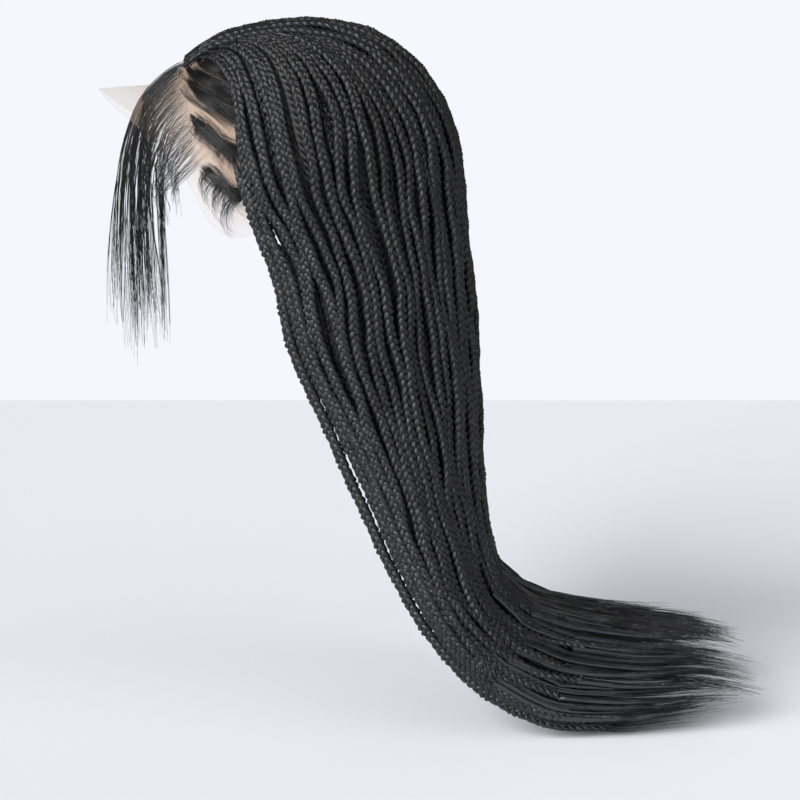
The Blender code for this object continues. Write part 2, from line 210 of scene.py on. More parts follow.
def top_route(share, side, part):
    """A braid of the top: from the hairline straight back over the crown, then down the back."""
    azimuth, elevation = read_table(HAIRLINE, share / TOP_SHARE * TOP_AZIMUTH)
    root = on_cap(bearing(azimuth, elevation, side))
    level, upwards = fall_frame(share, side)
    ahead = root + Vector((TOP_REACH, side * TOP_SPREAD * share, TOP_RISE))
    return bezier(root, ahead, level + upwards * TOP_REACH, level, part) - CAP_CENTRE


def parting_start(share):
    """How far along the last top braid a side braid begins."""
    progress = (share - TOP_SHARE) / (1 - TOP_SHARE)
    return mix(PARTING_START, PARTING_END, min(progress, 1) ** 0.85)


def side_route(share, side, part):
    """A braid of the side: from the parting beside the top rows, down over the cap's side."""
    progress = (share - TOP_SHARE) / (1 - TOP_SHARE)
    along = parting_start(share)
    beside = top_route(TOP_SHARE, side, along)
    forward = (top_route(TOP_SHARE, side, along + 0.02) - beside).normalized()
    downwards = forward.cross(beside.normalized()) * side
    downwards *= math.copysign(1, downwards.y * side)
    root = on_cap(beside + downwards * PARTING_WIDTH)
    level, upwards = fall_frame(share, side)
    reach = (level - root).length
    start = (forward * mix(1.0, 0.95, progress) + downwards * mix(0.15, 0.55, progress)).normalized()
    own = bezier(root, root + start * reach * 0.38, level + upwards * reach * 0.42, level, part) - CAP_CENTRE
    beside_top = top_route(TOP_SHARE, side, mix(along, 1, part)).normalized() * own.length
    gap = level - CAP_CENTRE - top_route(TOP_SHARE, side, 1)
    beside_top += downwards * mix(PARTING_WIDTH, 0, part) + gap * part
    return mix(own, beside_top, max(0.0, 1 - progress) ** 2)


print("the parting runs", round(parting_start(TOP_SHARE) * 100), "% of the way back")

# %% The flow
HAIR_CLEARANCE, ROOT_THICKNESS = 1.9, 5.0
DOME_STEPS = 12


def root_height(share):
    """How thick the hair is where a braid begins: beside the top rows it is as thick as they are there."""
    low = CAP_WALL + ROOT_THICKNESS
    if share <= TOP_SHARE:
        return low
    beside = CAP_WALL + fall_thickness(TOP_SHARE * CAP_SWEEP)
    return mix(low, beside, smooth_step(parting_start(share)) ** 1.05)


def flow(share, side):
    """The outer and inner points of the hair along one braid, from its root to the last section."""
    route = top_route if share <= TOP_SHARE else side_route
    lift = CAP_WALL + fall_thickness(share * CAP_SWEEP)
    root_lift = root_height(share)
    pairs = []
    for step in range(DOME_STEPS + 1):
        part = (step / DOME_STEPS) ** 1.2
        direction = route(share, side, part)
        thickness = mix(root_lift, lift, smooth_step(part) ** 1.05)
        pairs.append((on_cap(direction, thickness), on_cap(direction, CAP_WALL + HAIR_CLEARANCE)))
    return pairs + [section_points(row, share, side) for row in SECTIONS]


print("a middle braid has", len(flow(0.5, -1)), "points")

# %% [markdown]
# ## Colours and nodes
#
# Colours are written as the hex values seen on screen. Blender works in linear light, so one function turns them.
# Another adds a node: an input that is given a socket is linked, and anything else is set as its value. The kinds
# of node that come back most have a short name.

# %% Colour, node and material
MATH, VECTOR, RANGE = "ShaderNodeMath", "ShaderNodeVectorMath", "ShaderNodeMapRange"
ATTRIBUTE, STORE = "ShaderNodeAttribute", "GeometryNodeStoreNamedAttribute"
SMOOTH = "SMOOTHSTEP"


def linear(hex_colour):
    """The linear colour of an sRGB hex value."""
    parts = [int(hex_colour[i : i + 2], 16) / 255 for i in (0, 2, 4)]
    return (*[c / 12.92 if c <= 0.04045 else ((c + 0.055) / 1.055) ** 2.4 for c in parts], 1.0)


def add(tree, kind, inputs=None, **settings):
    """Adds a node to a tree, with its settings, and its inputs linked or set."""
    node = tree.nodes.new(kind)
    for name, value in settings.items():
        setattr(node, name, value)
    for key, value in (inputs or {}).items():
        if isinstance(value, bpy.types.NodeSocket):
            tree.links.new(value, node.inputs[key])
        else:
            node.inputs[key].default_value = value
    return node


def new_material(name):
    """A material with its node tree and its one shader."""
    material = bpy.data.materials.new(name)
    material.use_nodes = True
    return material, material.node_tree, material.node_tree.nodes["Principled BSDF"]


print("the grey 808080 is", round(linear("808080")[0], 3), "in linear light")

# %% [markdown]
# ## Braiding fibre
#
# Braiding hair is a crimped acrylic fibre, drawn fine and left slightly matt so that it doesn't look like plastic.
# What the eye sees is near-black strands with a soft grey sheen on each bump, broken into fine lines along the
# strand. A flat black would lose every plait, and a picture of hair would slide over them. So each strand carries
# two attributes, where round it a point is and how far along, and noise that is stretched along the strand gives
# the lines. They are about 0.3 mm apart, where real fibre is under 0.1 mm, so that they show.

# %% Hair materials
STREAK_SPEED = 0.12  # how fast the noise changes along a strand, in steps a millimetre
TURN_TO_TONE, OWN_TONE = 0.618, 0.4  # each braid has a tone of its own, out of its turn
DARK_AT, LIGHT_AT = 0.5, 0.92
LINE_HEIGHT = 0.8 * MM


def fibre_material(name, dark, light, roughness, shine, lines_per_round, bump):
    """Acrylic fibre, drawn fine: streaks of two near-blacks along each strand, and a bump to match."""
    material, tree, shader = new_material(name)
    around = add(tree, ATTRIBUTE, attribute_name="round").outputs["Vector"]
    along = add(tree, ATTRIBUTE, attribute_name="along").outputs["Fac"]
    stretched = add(tree, MATH, {0: along, 1: STREAK_SPEED}, operation="MULTIPLY").outputs[0]
    lengthways = add(tree, "ShaderNodeCombineXYZ", {"Z": stretched}).outputs[0]
    wound = add(tree, VECTOR, {0: around, "Scale": lines_per_round}, operation="SCALE").outputs[0]
    place = add(tree, VECTOR, {0: wound, 1: lengthways}, operation="ADD").outputs[0]
    lines = add(tree, "ShaderNodeTexNoise", {"Vector": place, "Scale": 1.0, "Detail": 2.0, "Roughness": 0.6}).outputs[0]
    own = add(tree, ATTRIBUTE, attribute_name="phase").outputs["Fac"]
    own = add(tree, MATH, {0: own, 1: TURN_TO_TONE}, operation="MULTIPLY").outputs[0]
    own = add(tree, MATH, {0: own}, operation="FRACT").outputs[0]
    tone = add(tree, MATH, {0: own, 1: OWN_TONE, 2: lines}, operation="MULTIPLY_ADD").outputs[0]
    ramp = add(tree, "ShaderNodeValToRGB", {"Fac": tone})
    for stop, at, colour in zip(ramp.color_ramp.elements, (DARK_AT, LIGHT_AT), (dark, light)):
        stop.position, stop.color = at, linear(colour)
    relief = add(tree, "ShaderNodeBump", {"Height": lines, "Strength": bump, "Distance": LINE_HEIGHT}).outputs[0]
    gloss = {"Value": tone, "From Min": 0.4, "From Max": 1.0, "To Min": roughness + 0.12, "To Max": roughness - 0.06}
    gloss = add(tree, RANGE, gloss)
    tree.links.new(ramp.outputs["Color"], shader.inputs["Base Color"])
    tree.links.new(relief, shader.inputs["Normal"])
    tree.links.new(gloss.outputs[0], shader.inputs["Roughness"])
    shader.inputs["IOR"].default_value = 1.5
    shader.inputs["Specular IOR Level"].default_value = shine
    return material


# Wound tight, a strand is matt, with a soft glint on each bump. Combed loose, the same fibre shines along its
# length. Single hairs are too thin to show a glint, and read as dark lines.
PLAITED = fibre_material("acrylic_fibre_plaited", "010103", "0a0b11", 0.44, 0.52, 2.4, 0.9)
LOOSE = fibre_material("acrylic_fibre_loose", "010103", "15171f", 0.28, 0.75, 1.6, 0.4)
FINE = fibre_material("acrylic_fibre_fine", "040304", "0e0c0d", 0.4, 0.5, 1.0, 0.0)
print("hair materials:", PLAITED.name, LOOSE.name, FINE.name)

# %% [markdown]
# ## Guides
#
# A braid begins as a guide: a line of points that knows, at each point, which way is out of the hair. The guides
# are one mesh of edges. Geometry Nodes then turns every guide into a braid at once, which is far quicker to change
# than braids that are modelled one by one.

# %% Guide lines
GUIDE_VALUES = ("size", "phase", "plain")


def at_depth(pair, depth):
    """The point a depth in millimetres under the hair's outer surface, and the way out of the hair."""
    outer, inner = pair
    out = (outer - inner).normalized()
    return outer - out * min(depth, (inner - outer).length * 0.75), out


def guide(points, size=1.0, phase=0.0, plain=0.0):
    """A guide line: points with their outward directions, its size, its turn and its unplaited start."""
    return {"points": points, "size": size, "phase": phase, "plain": plain}


def guide_mesh(name, guides):
    """One mesh of edges for all the guides, with what each knows stored on its points."""
    places, outs, edges, values = [], [], [], {key: [] for key in GUIDE_VALUES}
    for line in guides:
        first = len(places)
        edges += [(i, i + 1) for i in range(first, first + len(line["points"]) - 1)]
        for place, out in line["points"]:
            places.append(place * MM)
            outs += list(out)
        for key in GUIDE_VALUES:
            values[key] += [line[key]] * len(line["points"])
    mesh = bpy.data.meshes.new(name)
    mesh.from_pydata(places, edges, [])
    mesh.attributes.new("out", "FLOAT_VECTOR", "POINT").data.foreach_set("vector", outs)
    for key in GUIDE_VALUES:
        mesh.attributes.new(key, "FLOAT", "POINT").data.foreach_set("value", values[key])
    return mesh


print("a guide knows its points, the way out and its", ", ".join(GUIDE_VALUES))

# %% [markdown]
# ## What both trees share
#
# There will be two trees of Geometry Nodes, one for plaits and one for loose hair. Both take guides, make smooth
# curves of them, push the points about and sweep a round profile along, so those steps are written once.

# %% Starting a tree


def new_tree(name, sizes):
    """A tree with a Geometry input and output and named sizes: {name: default}. A material has None."""
    tree = bpy.data.node_groups.new(name, "GeometryNodeTree")
    sockets = tree.interface
    sockets.new_socket("Geometry", in_out="INPUT", socket_type="NodeSocketGeometry")
    sockets.new_socket("Geometry", in_out="OUTPUT", socket_type="NodeSocketGeometry")
    for label, default in sizes.items():
        kind = {int: "NodeSocketInt", float: "NodeSocketFloat"}.get(type(default), "NodeSocketMaterial")
        socket = sockets.new_socket(label, in_out="INPUT", socket_type=kind)
        if default is not None:
            socket.default_value = default
    return tree, add(tree, "NodeGroupInput").outputs


print("a size of a tree is a whole number, a length or a material")

# %% Curves, pushes and strands


def smooth_lines(tree, geometry, spacing):
    """Guides as smooth curves with a point every spacing metres."""
    curve = add(tree, "GeometryNodeMeshToCurve", {"Mesh": geometry}).outputs[0]
    smooth = add(tree, "GeometryNodeCurveSplineType", {"Curve": curve}, spline_type="CATMULL_ROM").outputs[0]
    cut = add(tree, "GeometryNodeResampleCurve", {"Curve": smooth}, mode="LENGTH")
    tree.links.new(spacing, cut.inputs["Length"])
    return cut.outputs[0]


def named(tree, name, kind="FLOAT"):
    """Reads what the guides know, by name."""
    return add(tree, "GeometryNodeInputNamedAttribute", {"Name": name}, data_type=kind).outputs["Attribute"]


def across_and_out(tree):
    """The ways across and out of a braid, at each point of its curve."""
    tangent = add(tree, "GeometryNodeInputTangent").outputs[0]
    out = add(tree, VECTOR, {0: named(tree, "out", "FLOAT_VECTOR")}, operation="NORMALIZE").outputs[0]
    side = add(tree, VECTOR, {0: tangent, 1: out}, operation="CROSS_PRODUCT").outputs[0]
    return add(tree, VECTOR, {0: side}, operation="NORMALIZE").outputs[0], out


def push(tree, geometry, parts):
    """Moves each point by a sum of directions, each scaled by its own amount."""
    total = None
    for direction, amount in parts:
        step = add(tree, VECTOR, {0: direction, "Scale": amount}, operation="SCALE").outputs[0]
        if total:
            step = add(tree, VECTOR, {0: total, 1: step}, operation="ADD").outputs[0]
        total = step
    return add(tree, "GeometryNodeSetPosition", {"Geometry": geometry, "Offset": total}).outputs[0]


def sweep(tree, curve, radius, sides, material):
    """Round strands along curves, closed at both ends, with round and along stored for the fibre."""
    length = add(tree, "GeometryNodeSplineParameter").outputs["Length"]
    millimetres = add(tree, MATH, {0: length, 1: 1000.0}, operation="MULTIPLY").outputs[0]
    shifted = add(tree, MATH, {0: millimetres, 1: named(tree, "phase")}, operation="ADD").outputs[0]
    rail = add(tree, STORE, {"Geometry": curve, "Name": "along", "Value": shifted}).outputs[0]
    ring = add(tree, "GeometryNodeCurvePrimitiveCircle", {"Resolution": sides, "Radius": 1.0}).outputs[0]
    place = add(tree, "GeometryNodeInputPosition").outputs[0]
    ring = add(tree, STORE, {"Geometry": ring, "Name": "round", "Value": place}, data_type="FLOAT_VECTOR").outputs[0]
    sweeping = {"Curve": rail, "Profile Curve": ring, "Scale": radius, "Fill Caps": True}
    tube = add(tree, "GeometryNodeCurveToMesh", sweeping).outputs[0]
    smooth = add(tree, "GeometryNodeSetShadeSmooth", {"Geometry": tube}).outputs[0]
    real = add(tree, "GeometryNodeRealizeInstances", {"Geometry": smooth}).outputs[0]
    done = add(tree, "GeometryNodeSetMaterial", {"Geometry": real, "Material": material}).outputs[0]
    add(tree, "NodeGroupOutput", {"Geometry": done})


print("a strand is swept with its round and along stored")

# %% [markdown]
# ## The plait tree
#
# A three-strand plait is a simple rhythm. Seen from the front each strand swings from side to side in a sine wave;
# seen from the side it dives in and out twice as often; and the three strands are a third of a turn apart. The
# tree does exactly that to three copies of each guide, then sweeps a round profile along them. At the root the
# swing fades in, because the first centimetres are hair that isn't plaited yet.

# %% The plait tree
PLAIT_SIZES = {
    "Spacing": 2.2 * MM,
    "Pitch": 16.0 * MM,
    "Swing": 2.25 * MM,
    "Dive": 1.45 * MM,
    "Strand": 2.05 * MM,
    "Wander": 2.8 * MM,
    "Sides": 6,
    "Material": None,
}
WANDERS = (3.7, 1.0), (9.1, 0.6)  # across and out: where each reads the noise, and its share of Wander
WANDER_SPEED, WANDER_START = 11.0, 0.12  # turns of noise in a metre, and the metres before it is full
PLAIT_START = 22.0 * MM  # how long the swing takes to fade in
GIRTH_CHANGE = 0.24  # a strand is thicker where it lies on top
ROOT_GIRTH, END_GIRTH = 0.72, 0.7


def wandering(tree, lines, ways, length, phase, wander):
    """Lets each braid stray a little from its guide, so that no two lie alike."""
    for direction, (seed, share) in zip(ways, WANDERS):
        place = add(tree, MATH, {0: phase, 1: seed, 2: 0.0}, operation="MULTIPLY_ADD").outputs[0]
        w = add(tree, MATH, {0: length, 1: WANDER_SPEED, 2: place}, operation="MULTIPLY_ADD").outputs[0]
        noise = add(tree, "ShaderNodeTexNoise", {"W": w, "Scale": 1.0, "Detail": 1.0}, noise_dimensions="1D").outputs[0]
        reach = {"Value": noise, "From Min": 0.3, "From Max": 0.7, "To Min": -share, "To Max": share}
        swing = add(tree, RANGE, reach).outputs[0]
        fade = add(tree, RANGE, {"Value": length, "From Max": WANDER_START}, interpolation_type=SMOOTH).outputs[0]
        amount = add(tree, MATH, {0: swing, 1: fade}, operation="MULTIPLY").outputs[0]
        amount = add(tree, MATH, {0: amount, 1: wander}, operation="MULTIPLY").outputs[0]
        lines = push(tree, lines, [(direction, amount)])
    return lines


def plait_tree():
    """Three strands to each guide, a third of a turn apart."""
    tree, sizes = new_tree("plait", PLAIT_SIZES)
    lines = smooth_lines(tree, sizes["Geometry"], sizes["Spacing"])
    across, out = across_and_out(tree)
    spline = add(tree, "GeometryNodeSplineParameter").outputs
    length, phase, size = spline["Length"], named(tree, "phase"), named(tree, "size")
    lines = wandering(tree, lines, (across, out), length, phase, sizes["Wander"])
    plain = named(tree, "plain")
    plaited = add(tree, MATH, {0: plain, 1: PLAIT_START}, operation="ADD").outputs[0]
    ramp = {"Value": length, "From Min": plain, "From Max": plaited}
    ramp = add(tree, RANGE, ramp, interpolation_type=SMOOTH).outputs[0]
    grown = add(tree, MATH, {0: ramp, 1: size}, operation="MULTIPLY").outputs[0]
    wave = add(tree, MATH, {0: math.tau, 1: sizes["Pitch"]}, operation="DIVIDE").outputs[0]
    turned = add(tree, MATH, {0: length, 1: wave, 2: phase}, operation="MULTIPLY_ADD").outputs[0]
    join = add(tree, "GeometryNodeJoinGeometry")
    for strand in range(3):
        angle = add(tree, MATH, {0: turned, 1: math.tau * strand / 3}, operation="ADD").outputs[0]
        sideways = add(tree, MATH, {0: angle}, operation="SINE").outputs[0]
        double = add(tree, MATH, {0: angle, 1: 2.0}, operation="MULTIPLY").outputs[0]
        inwards = add(tree, MATH, {0: double}, operation="SINE").outputs[0]
        parts = []
        for direction, wave_of, reach in ((across, sideways, "Swing"), (out, inwards, "Dive")):
            amount = add(tree, MATH, {0: wave_of, 1: sizes[reach]}, operation="MULTIPLY").outputs[0]
            amount = add(tree, MATH, {0: amount, 1: grown}, operation="MULTIPLY").outputs[0]
            parts.append((direction, amount))
        lump = add(tree, MATH, {0: inwards, 1: grown}, operation="MULTIPLY").outputs[0]
        girth = add(tree, MATH, {0: lump, 1: GIRTH_CHANGE, 2: 1.0}, operation="MULTIPLY_ADD").outputs[0]
        moved = push(tree, lines, parts)
        kept = add(tree, STORE, {"Geometry": moved, "Name": "girth", "Value": girth})
        tree.links.new(kept.outputs[0], join.inputs[0])
    rooted = add(tree, RANGE, {"Value": ramp, "To Min": ROOT_GIRTH, "To Max": 1.0}).outputs[0]
    ends = {"Value": spline["Factor"], "From Min": 0.9, "From Max": 1.0, "To Min": 1.0, "To Max": END_GIRTH}
    ends = add(tree, RANGE, ends).outputs[0]
    radius = add(tree, MATH, {0: sizes["Strand"], 1: size}, operation="MULTIPLY").outputs[0]
    for share in (rooted, ends, named(tree, "girth")):
        radius = add(tree, MATH, {0: radius, 1: share}, operation="MULTIPLY").outputs[0]
    sweep(tree, join.outputs[0], radius, sizes["Sides"], sizes["Material"])
    return tree


PLAIT = plait_tree()
print("plait tree:", len(PLAIT.nodes), "nodes")

# %% [markdown]
# ## The tuft tree
#
# Below its plait a braid is a brush of straight fibres. The same kind of brush serves for hair that is combed to
# the hairline and for the long fine hair in front of it. The tree copies each guide many times, spreads the
# copies across and outwards, more at one end than the other, cuts each to its own length and gives it a wave.

# %% The tuft tree
TUFT_SIZES = {
    "Spacing": 9.0 * MM,
    "Hairs": 24,
    "Root Across": 2.5 * MM,
    "Root Out": 1.8 * MM,
    "Tip Across": 6.0 * MM,
    "Tip Out": 4.0 * MM,
    "Shortest": 0.7,
    "Wave": 1.5 * MM,
    "Hair": 0.4 * MM,
    "Root Hair": 1.0,
    "Tip Hair": 0.15,
    "Latest Root": 0.0,
    "Sides": 3,
    "Seed": 1,
    "Material": None,
}
WAVE_TURNS = 7.0  # the wave of a hair, in radians from root to tip
ROOT_PART, TAPER_FROM = 0.25, 0.3


def random_numbers(tree, seed_input, count):
    """Random numbers from 0 to 1 that stay the same all along one hair."""
    index = add(tree, "GeometryNodeInputIndex").outputs[0]
    own = add(tree, "GeometryNodeFieldOnDomain", {0: index}, domain="CURVE", data_type="INT").outputs[0]
    chance = []
    for number in range(count):
        seed = add(tree, MATH, {0: seed_input, 1: 11.0, 2: float(number)}, operation="MULTIPLY_ADD").outputs[0]
        value = add(tree, "FunctionNodeRandomValue", {"ID": own, "Seed": seed}, data_type="FLOAT")
        chance.append(next(output for output in value.outputs if output.type == "VALUE" and output.enabled))
    return chance


def tuft_tree():
    """Many hairs to each guide, spread over a disc, each with its own length and wave."""
    tree, sizes = new_tree("tuft", TUFT_SIZES)
    lines = smooth_lines(tree, sizes["Geometry"], sizes["Spacing"])
    copies = add(tree, "GeometryNodeDuplicateElements", {"Geometry": lines, "Amount": sizes["Hairs"]}, domain="SPLINE")
    to_rim, round_disc, length, root = random_numbers(tree, sizes["Seed"], 4)
    across, out = across_and_out(tree)
    factor = add(tree, "GeometryNodeSplineParameter").outputs["Factor"]
    far = add(tree, MATH, {0: to_rim}, operation="SQRT").outputs[0]
    angle = add(tree, MATH, {0: round_disc, 1: math.tau}, operation="MULTIPLY").outputs[0]
    ripple = add(tree, MATH, {0: factor, 1: WAVE_TURNS, 2: angle}, operation="MULTIPLY_ADD").outputs[0]
    ripple = add(tree, MATH, {0: ripple}, operation="SINE").outputs[0]
    ripple = add(tree, MATH, {0: ripple, 1: factor}, operation="MULTIPLY").outputs[0]
    ripple = add(tree, MATH, {0: ripple, 1: sizes["Wave"]}, operation="MULTIPLY").outputs[0]
    parts = []
    for direction, turn, name in ((across, "COSINE", "Across"), (out, "SINE", "Out")):
        reach = {"Value": factor, "To Min": sizes["Root " + name], "To Max": sizes["Tip " + name]}
        reach = add(tree, RANGE, reach).outputs[0]
        place = add(tree, MATH, {0: angle}, operation=turn).outputs[0]
        place = add(tree, MATH, {0: place, 1: far}, operation="MULTIPLY").outputs[0]
        amount = add(tree, MATH, {0: place, 1: reach, 2: ripple}, operation="MULTIPLY_ADD").outputs[0]
        parts.append((direction, amount))
    spread = push(tree, copies.outputs[0], parts)
    size = named(tree, "size")
    end = add(tree, RANGE, {"Value": length, "To Min": sizes["Shortest"], "To Max": 1.0}).outputs[0]
    start = add(tree, MATH, {0: root, 1: sizes["Latest Root"]}, operation="MULTIPLY").outputs[0]
    trim = add(tree, "GeometryNodeTrimCurve", {"Curve": spread}, mode="FACTOR")
    for name, factor_at in (("Start", start), ("End", end)):
        tree.links.new(factor_at, next(socket for socket in trim.inputs if socket.name == name and socket.enabled))
    rooted = {"Value": factor, "From Max": ROOT_PART, "To Min": sizes["Root Hair"], "To Max": 1.0}
    rooted = add(tree, RANGE, rooted).outputs[0]
    thinner = {"Value": factor, "From Min": TAPER_FROM, "From Max": 1.0, "To Min": 1.0, "To Max": sizes["Tip Hair"]}
    thinner = add(tree, RANGE, thinner, interpolation_type=SMOOTH).outputs[0]
    radius = add(tree, MATH, {0: sizes["Hair"], 1: size}, operation="MULTIPLY").outputs[0]
    for share in (rooted, thinner):
        radius = add(tree, MATH, {0: radius, 1: share}, operation="MULTIPLY").outputs[0]
    sweep(tree, trim.outputs[0], radius, sizes["Sides"], sizes["Material"])
    return tree


TUFT = tuft_tree()
print("tuft tree:", len(TUFT.nodes), "nodes")

# %% [markdown]
# ## Growing, joining and finishing
#
# A tree does nothing until it runs over guides. Here that is done once: the modifier gets its sizes, the result is
# taken as a plain mesh, and the guides are thrown away, because a finished piece needs no tree. Every hair piece
# then rides on the wig's one body and stands for the solids that it dresses.

# %% Growing a piece from guides


def grow(name, tree, guides, sizes):
    """Runs a tree over guides and gives back the result as a plain mesh object."""
    source = bpy.data.objects.new(name + "_guides", guide_mesh(name + "_guides", guides))
    bpy.context.scene.collection.objects.link(source)
    modifier = source.modifiers.new("grow", "NODES")
    modifier.node_group = tree
    for item in tree.interface.items_tree:
        if item.in_out == "INPUT" and item.name in sizes:
            modifier[item.identifier] = sizes[item.name]
    bpy.context.view_layer.update()
    deps = bpy.context.evaluated_depsgraph_get()
    mesh = bpy.data.meshes.new_from_object(source.evaluated_get(deps), preserve_all_data_layers=True, depsgraph=deps)
    bpy.data.objects.remove(source)
    mesh.name = name
    grown = bpy.data.objects.new(name, mesh)
    bpy.context.scene.collection.objects.link(grown)
    return grown


def join_all(name, objects):
    """Joins objects into one piece."""
    if len(objects) > 1:
        with bpy.context.temp_override(active_object=objects[0], selected_editable_objects=objects):
            bpy.ops.object.join()
    objects[0].name = name
    return objects[0]


def finish_piece(piece, nodes):
    """Ties a finished piece to the model: it rides on the root and stands for its solids."""
    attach(piece, "root")
    if nodes:
        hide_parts(*nodes)
    piece.data.calc_loop_triangles()
    print(piece.name, len(piece.data.loop_triangles), "triangles")


print("ready to grow with", PLAIT.name, "and", TUFT.name)

# %% [markdown]
# ## The outer braids
#
# Twenty-one braids lie side by side on each half of the cap, and one more beside the parting. Modelled one by one
# they would look alike, so the guides are drawn by chance from a fixed seed: each braid has its own turn, size and
# end, and each starts with some unplaited hair, more at the hairline, where it lies flat, than at the parting.
# Below the plait, a few thick strands keep the light out of the loose end and fine ones break up its edge.

# %% Guides for braids
SIDES = ((-1, "left"), (1, "right"))
BRAID_DEPTH, UNDER_DEPTH = 2.3, 8.6
UNDER_END_SHARE = 0.35  # the braids underneath reach nearer to the last section
LOOSE_LENGTH = 150.0
LOCKS_PER_SIDE = 9
LOCK_ENDS = [1.2, 0.9, 0.5, 0.15, 0.0, 0.1, 0.4, 0.8, 1.1]  # how many sections short of the last each lock ends
TOP_PLAIN, SIDE_PLAIN = 15.0, 8.0  # millimetres of unplaited hair at the root


def trimmed_line(points, short_of):
    """A guide that stops a number of its last steps short."""
    whole = int(short_of)
    kept = points[: len(points) - whole]
    part = short_of - whole
    (a, out), (b, _) = kept[-1], kept[-2]
    return kept[:-1] + [(mix(a, b, part), out)]


def cut_at(points, length_from_end):
    """Splits a line of points into its plaited part and its loose part, measured from its end."""
    left = length_from_end
    for i in range(len(points) - 1, 0, -1):
        step = (points[i][0] - points[i - 1][0]).length
        if step >= left:
            part = left / step
            middle = (mix(points[i][0], points[i - 1][0], part), points[i][1])
            return points[:i] + [middle], [middle] + points[i:]
        left -= step
    return points, points[-2:]


def braid_line(share, side, depth, short_of, chance):
    """A guide at a depth in the hair, which wavers a little more the further it is from its root."""
    line = []
    for i, pair in enumerate(flow(share, side)):
        loose = min(i / 12, 1.0)
        line.append(at_depth(pair, depth + loose * chance.uniform(0, 1.2)))
    return trimmed_line(line, short_of)


def braid_guides(side, shares, depth, chance):
    """Plait guides and loose-end guides for braids at these shares of the way round."""
    plaits, tufts = [], []
    for share in shares:
        lock = min(int(share * LOCKS_PER_SIDE), LOCKS_PER_SIDE - 1)
        short_of = LOCK_ENDS[lock] * (1.0 if depth < UNDER_DEPTH else UNDER_END_SHARE) + chance.uniform(-0.15, 0.35)
        line = braid_line(share, side, depth + chance.uniform(0, 1.6), max(short_of, 0.0), chance)
        loose = LOOSE_LENGTH * chance.uniform(0.75, 1.2)
        plaited, free = cut_at(line, loose)
        size = mix(0.88, 0.98, share) * chance.uniform(0.86, 1.1)
        phase = chance.uniform(0, 40)
        plain = TOP_PLAIN if share < TOP_SHARE else SIDE_PLAIN
        plaits.append(guide(plaited, size, phase, plain * MM))
        stray, lift = chance.gauss(0, 10), abs(chance.gauss(0, 6))
        last, aside = len(free) - 1, Vector((0, stray, lift))
        free = [(place + aside * (i / last) ** 2, out) for i, (place, out) in enumerate(free)]
        tufts.append(guide(plaited[-2:-1] + free, size, phase))
    return plaits, tufts


print("outer braids end up to", max(LOCK_ENDS), "sections short")

# %% Outer braids
GROUPS, BRAIDS_IN_GROUP, LOCKS_IN_GROUP = 3, 7, 3
CORES = {"Hairs": 3, "Hair": 1.7 * MM, "Tip Hair": 0.04, "Shortest": 0.86, "Sides": 6, "Spacing": 6 * MM}
CORES |= {"Root Across": 1.6 * MM, "Root Out": 0.6 * MM, "Tip Across": 1.8 * MM, "Tip Out": 1.0 * MM}
ENDS = {"Hairs": 26, "Tip Across": 2.6 * MM, "Tip Out": 1.8 * MM}


def build_outer_braids():
    """Three pieces of plaits a side, and three of the loose hair below them."""
    for side, word in SIDES:
        chance = random.Random(4 + side)
        for group in range(GROUPS):
            places = range(group * BRAIDS_IN_GROUP, (group + 1) * BRAIDS_IN_GROUP)
            shares = [(i + chance.uniform(0.28, 0.72)) / (GROUPS * BRAIDS_IN_GROUP) for i in places]
            shares += [TOP_SHARE] * (group == 0)
            plaits, tufts = braid_guides(side, shares, BRAID_DEPTH, chance)
            piece = grow(f"braids_{word}_{group + 1}", PLAIT, plaits, {"Material": PLAITED})
            nodes = [f"braid_lock_{word}_{group * LOCKS_IN_GROUP + i + 1}" for i in range(LOCKS_IN_GROUP)]
            finish_piece(piece, nodes)
            cores = grow("cores", TUFT, tufts, CORES | {"Seed": 31 + group, "Material": LOOSE})
            hairs = grow("hairs", TUFT, tufts, ENDS | {"Seed": 7 + group + side, "Material": LOOSE})
            finish_piece(join_all(f"loose_ends_{word}_{group + 1}", [cores, hairs]), [])


build_outer_braids()

# %% [markdown]
# ## The braids underneath
#
# A wig of this length is two or three braids thick. A second layer lies in the gaps of the first, and it is what
# shows between the outer braids and in the tail. The same guides and trees make it, deeper down. It has fewer points,
# because only slivers of it are seen, and it leaves out the roots, which nothing shows.

# %% Second layer
INNER_BRAIDS = 15
HIDDEN_STEPS = 4  # steps of a guide at its root that the outer braids cover
INNER_PLAITS = {"Spacing": 3.3 * MM, "Sides": 4, "Wander": 2.0 * MM}
INNER_ENDS = {"Hairs": 20, "Hair": 0.55 * MM, "Tip Across": 8.0 * MM, "Tip Out": 6.0 * MM}


def build_inner_braids():
    for side, word in SIDES:
        chance = random.Random(20 + side)
        shares = [(i + 0.4) / INNER_BRAIDS for i in range(INNER_BRAIDS)]
        plaits, tufts = braid_guides(side, shares, UNDER_DEPTH, chance)
        for line in plaits:
            line["points"] = line["points"][HIDDEN_STEPS:]
        braids = grow("inner", PLAIT, plaits, INNER_PLAITS | {"Material": PLAITED})
        hairs = grow("hairs", TUFT, tufts, INNER_ENDS | {"Seed": 50 + side, "Material": LOOSE})
        finish_piece(join_all(f"inner_braids_{word}", [braids, hairs]), [])


build_inner_braids()

# %% [markdown]
# ## The hair below
#
# Between the second layer and the cap the braids only show as rows of bumps, from the inside. More plaits would be
# slow and hardly seen, so here each half becomes one closed shell, and its material draws the rhythm of plaits as a
# bump, with painted shade between the bumps and a painted highlight on their crests. To the eye it is a dark, matt
# rope work. The lanes are about 7 mm wide, as the braids are.

# %% Plait relief for the lowest layer
BUMP_SPACING = 5.5  # millimetres from bump to bump along a lane


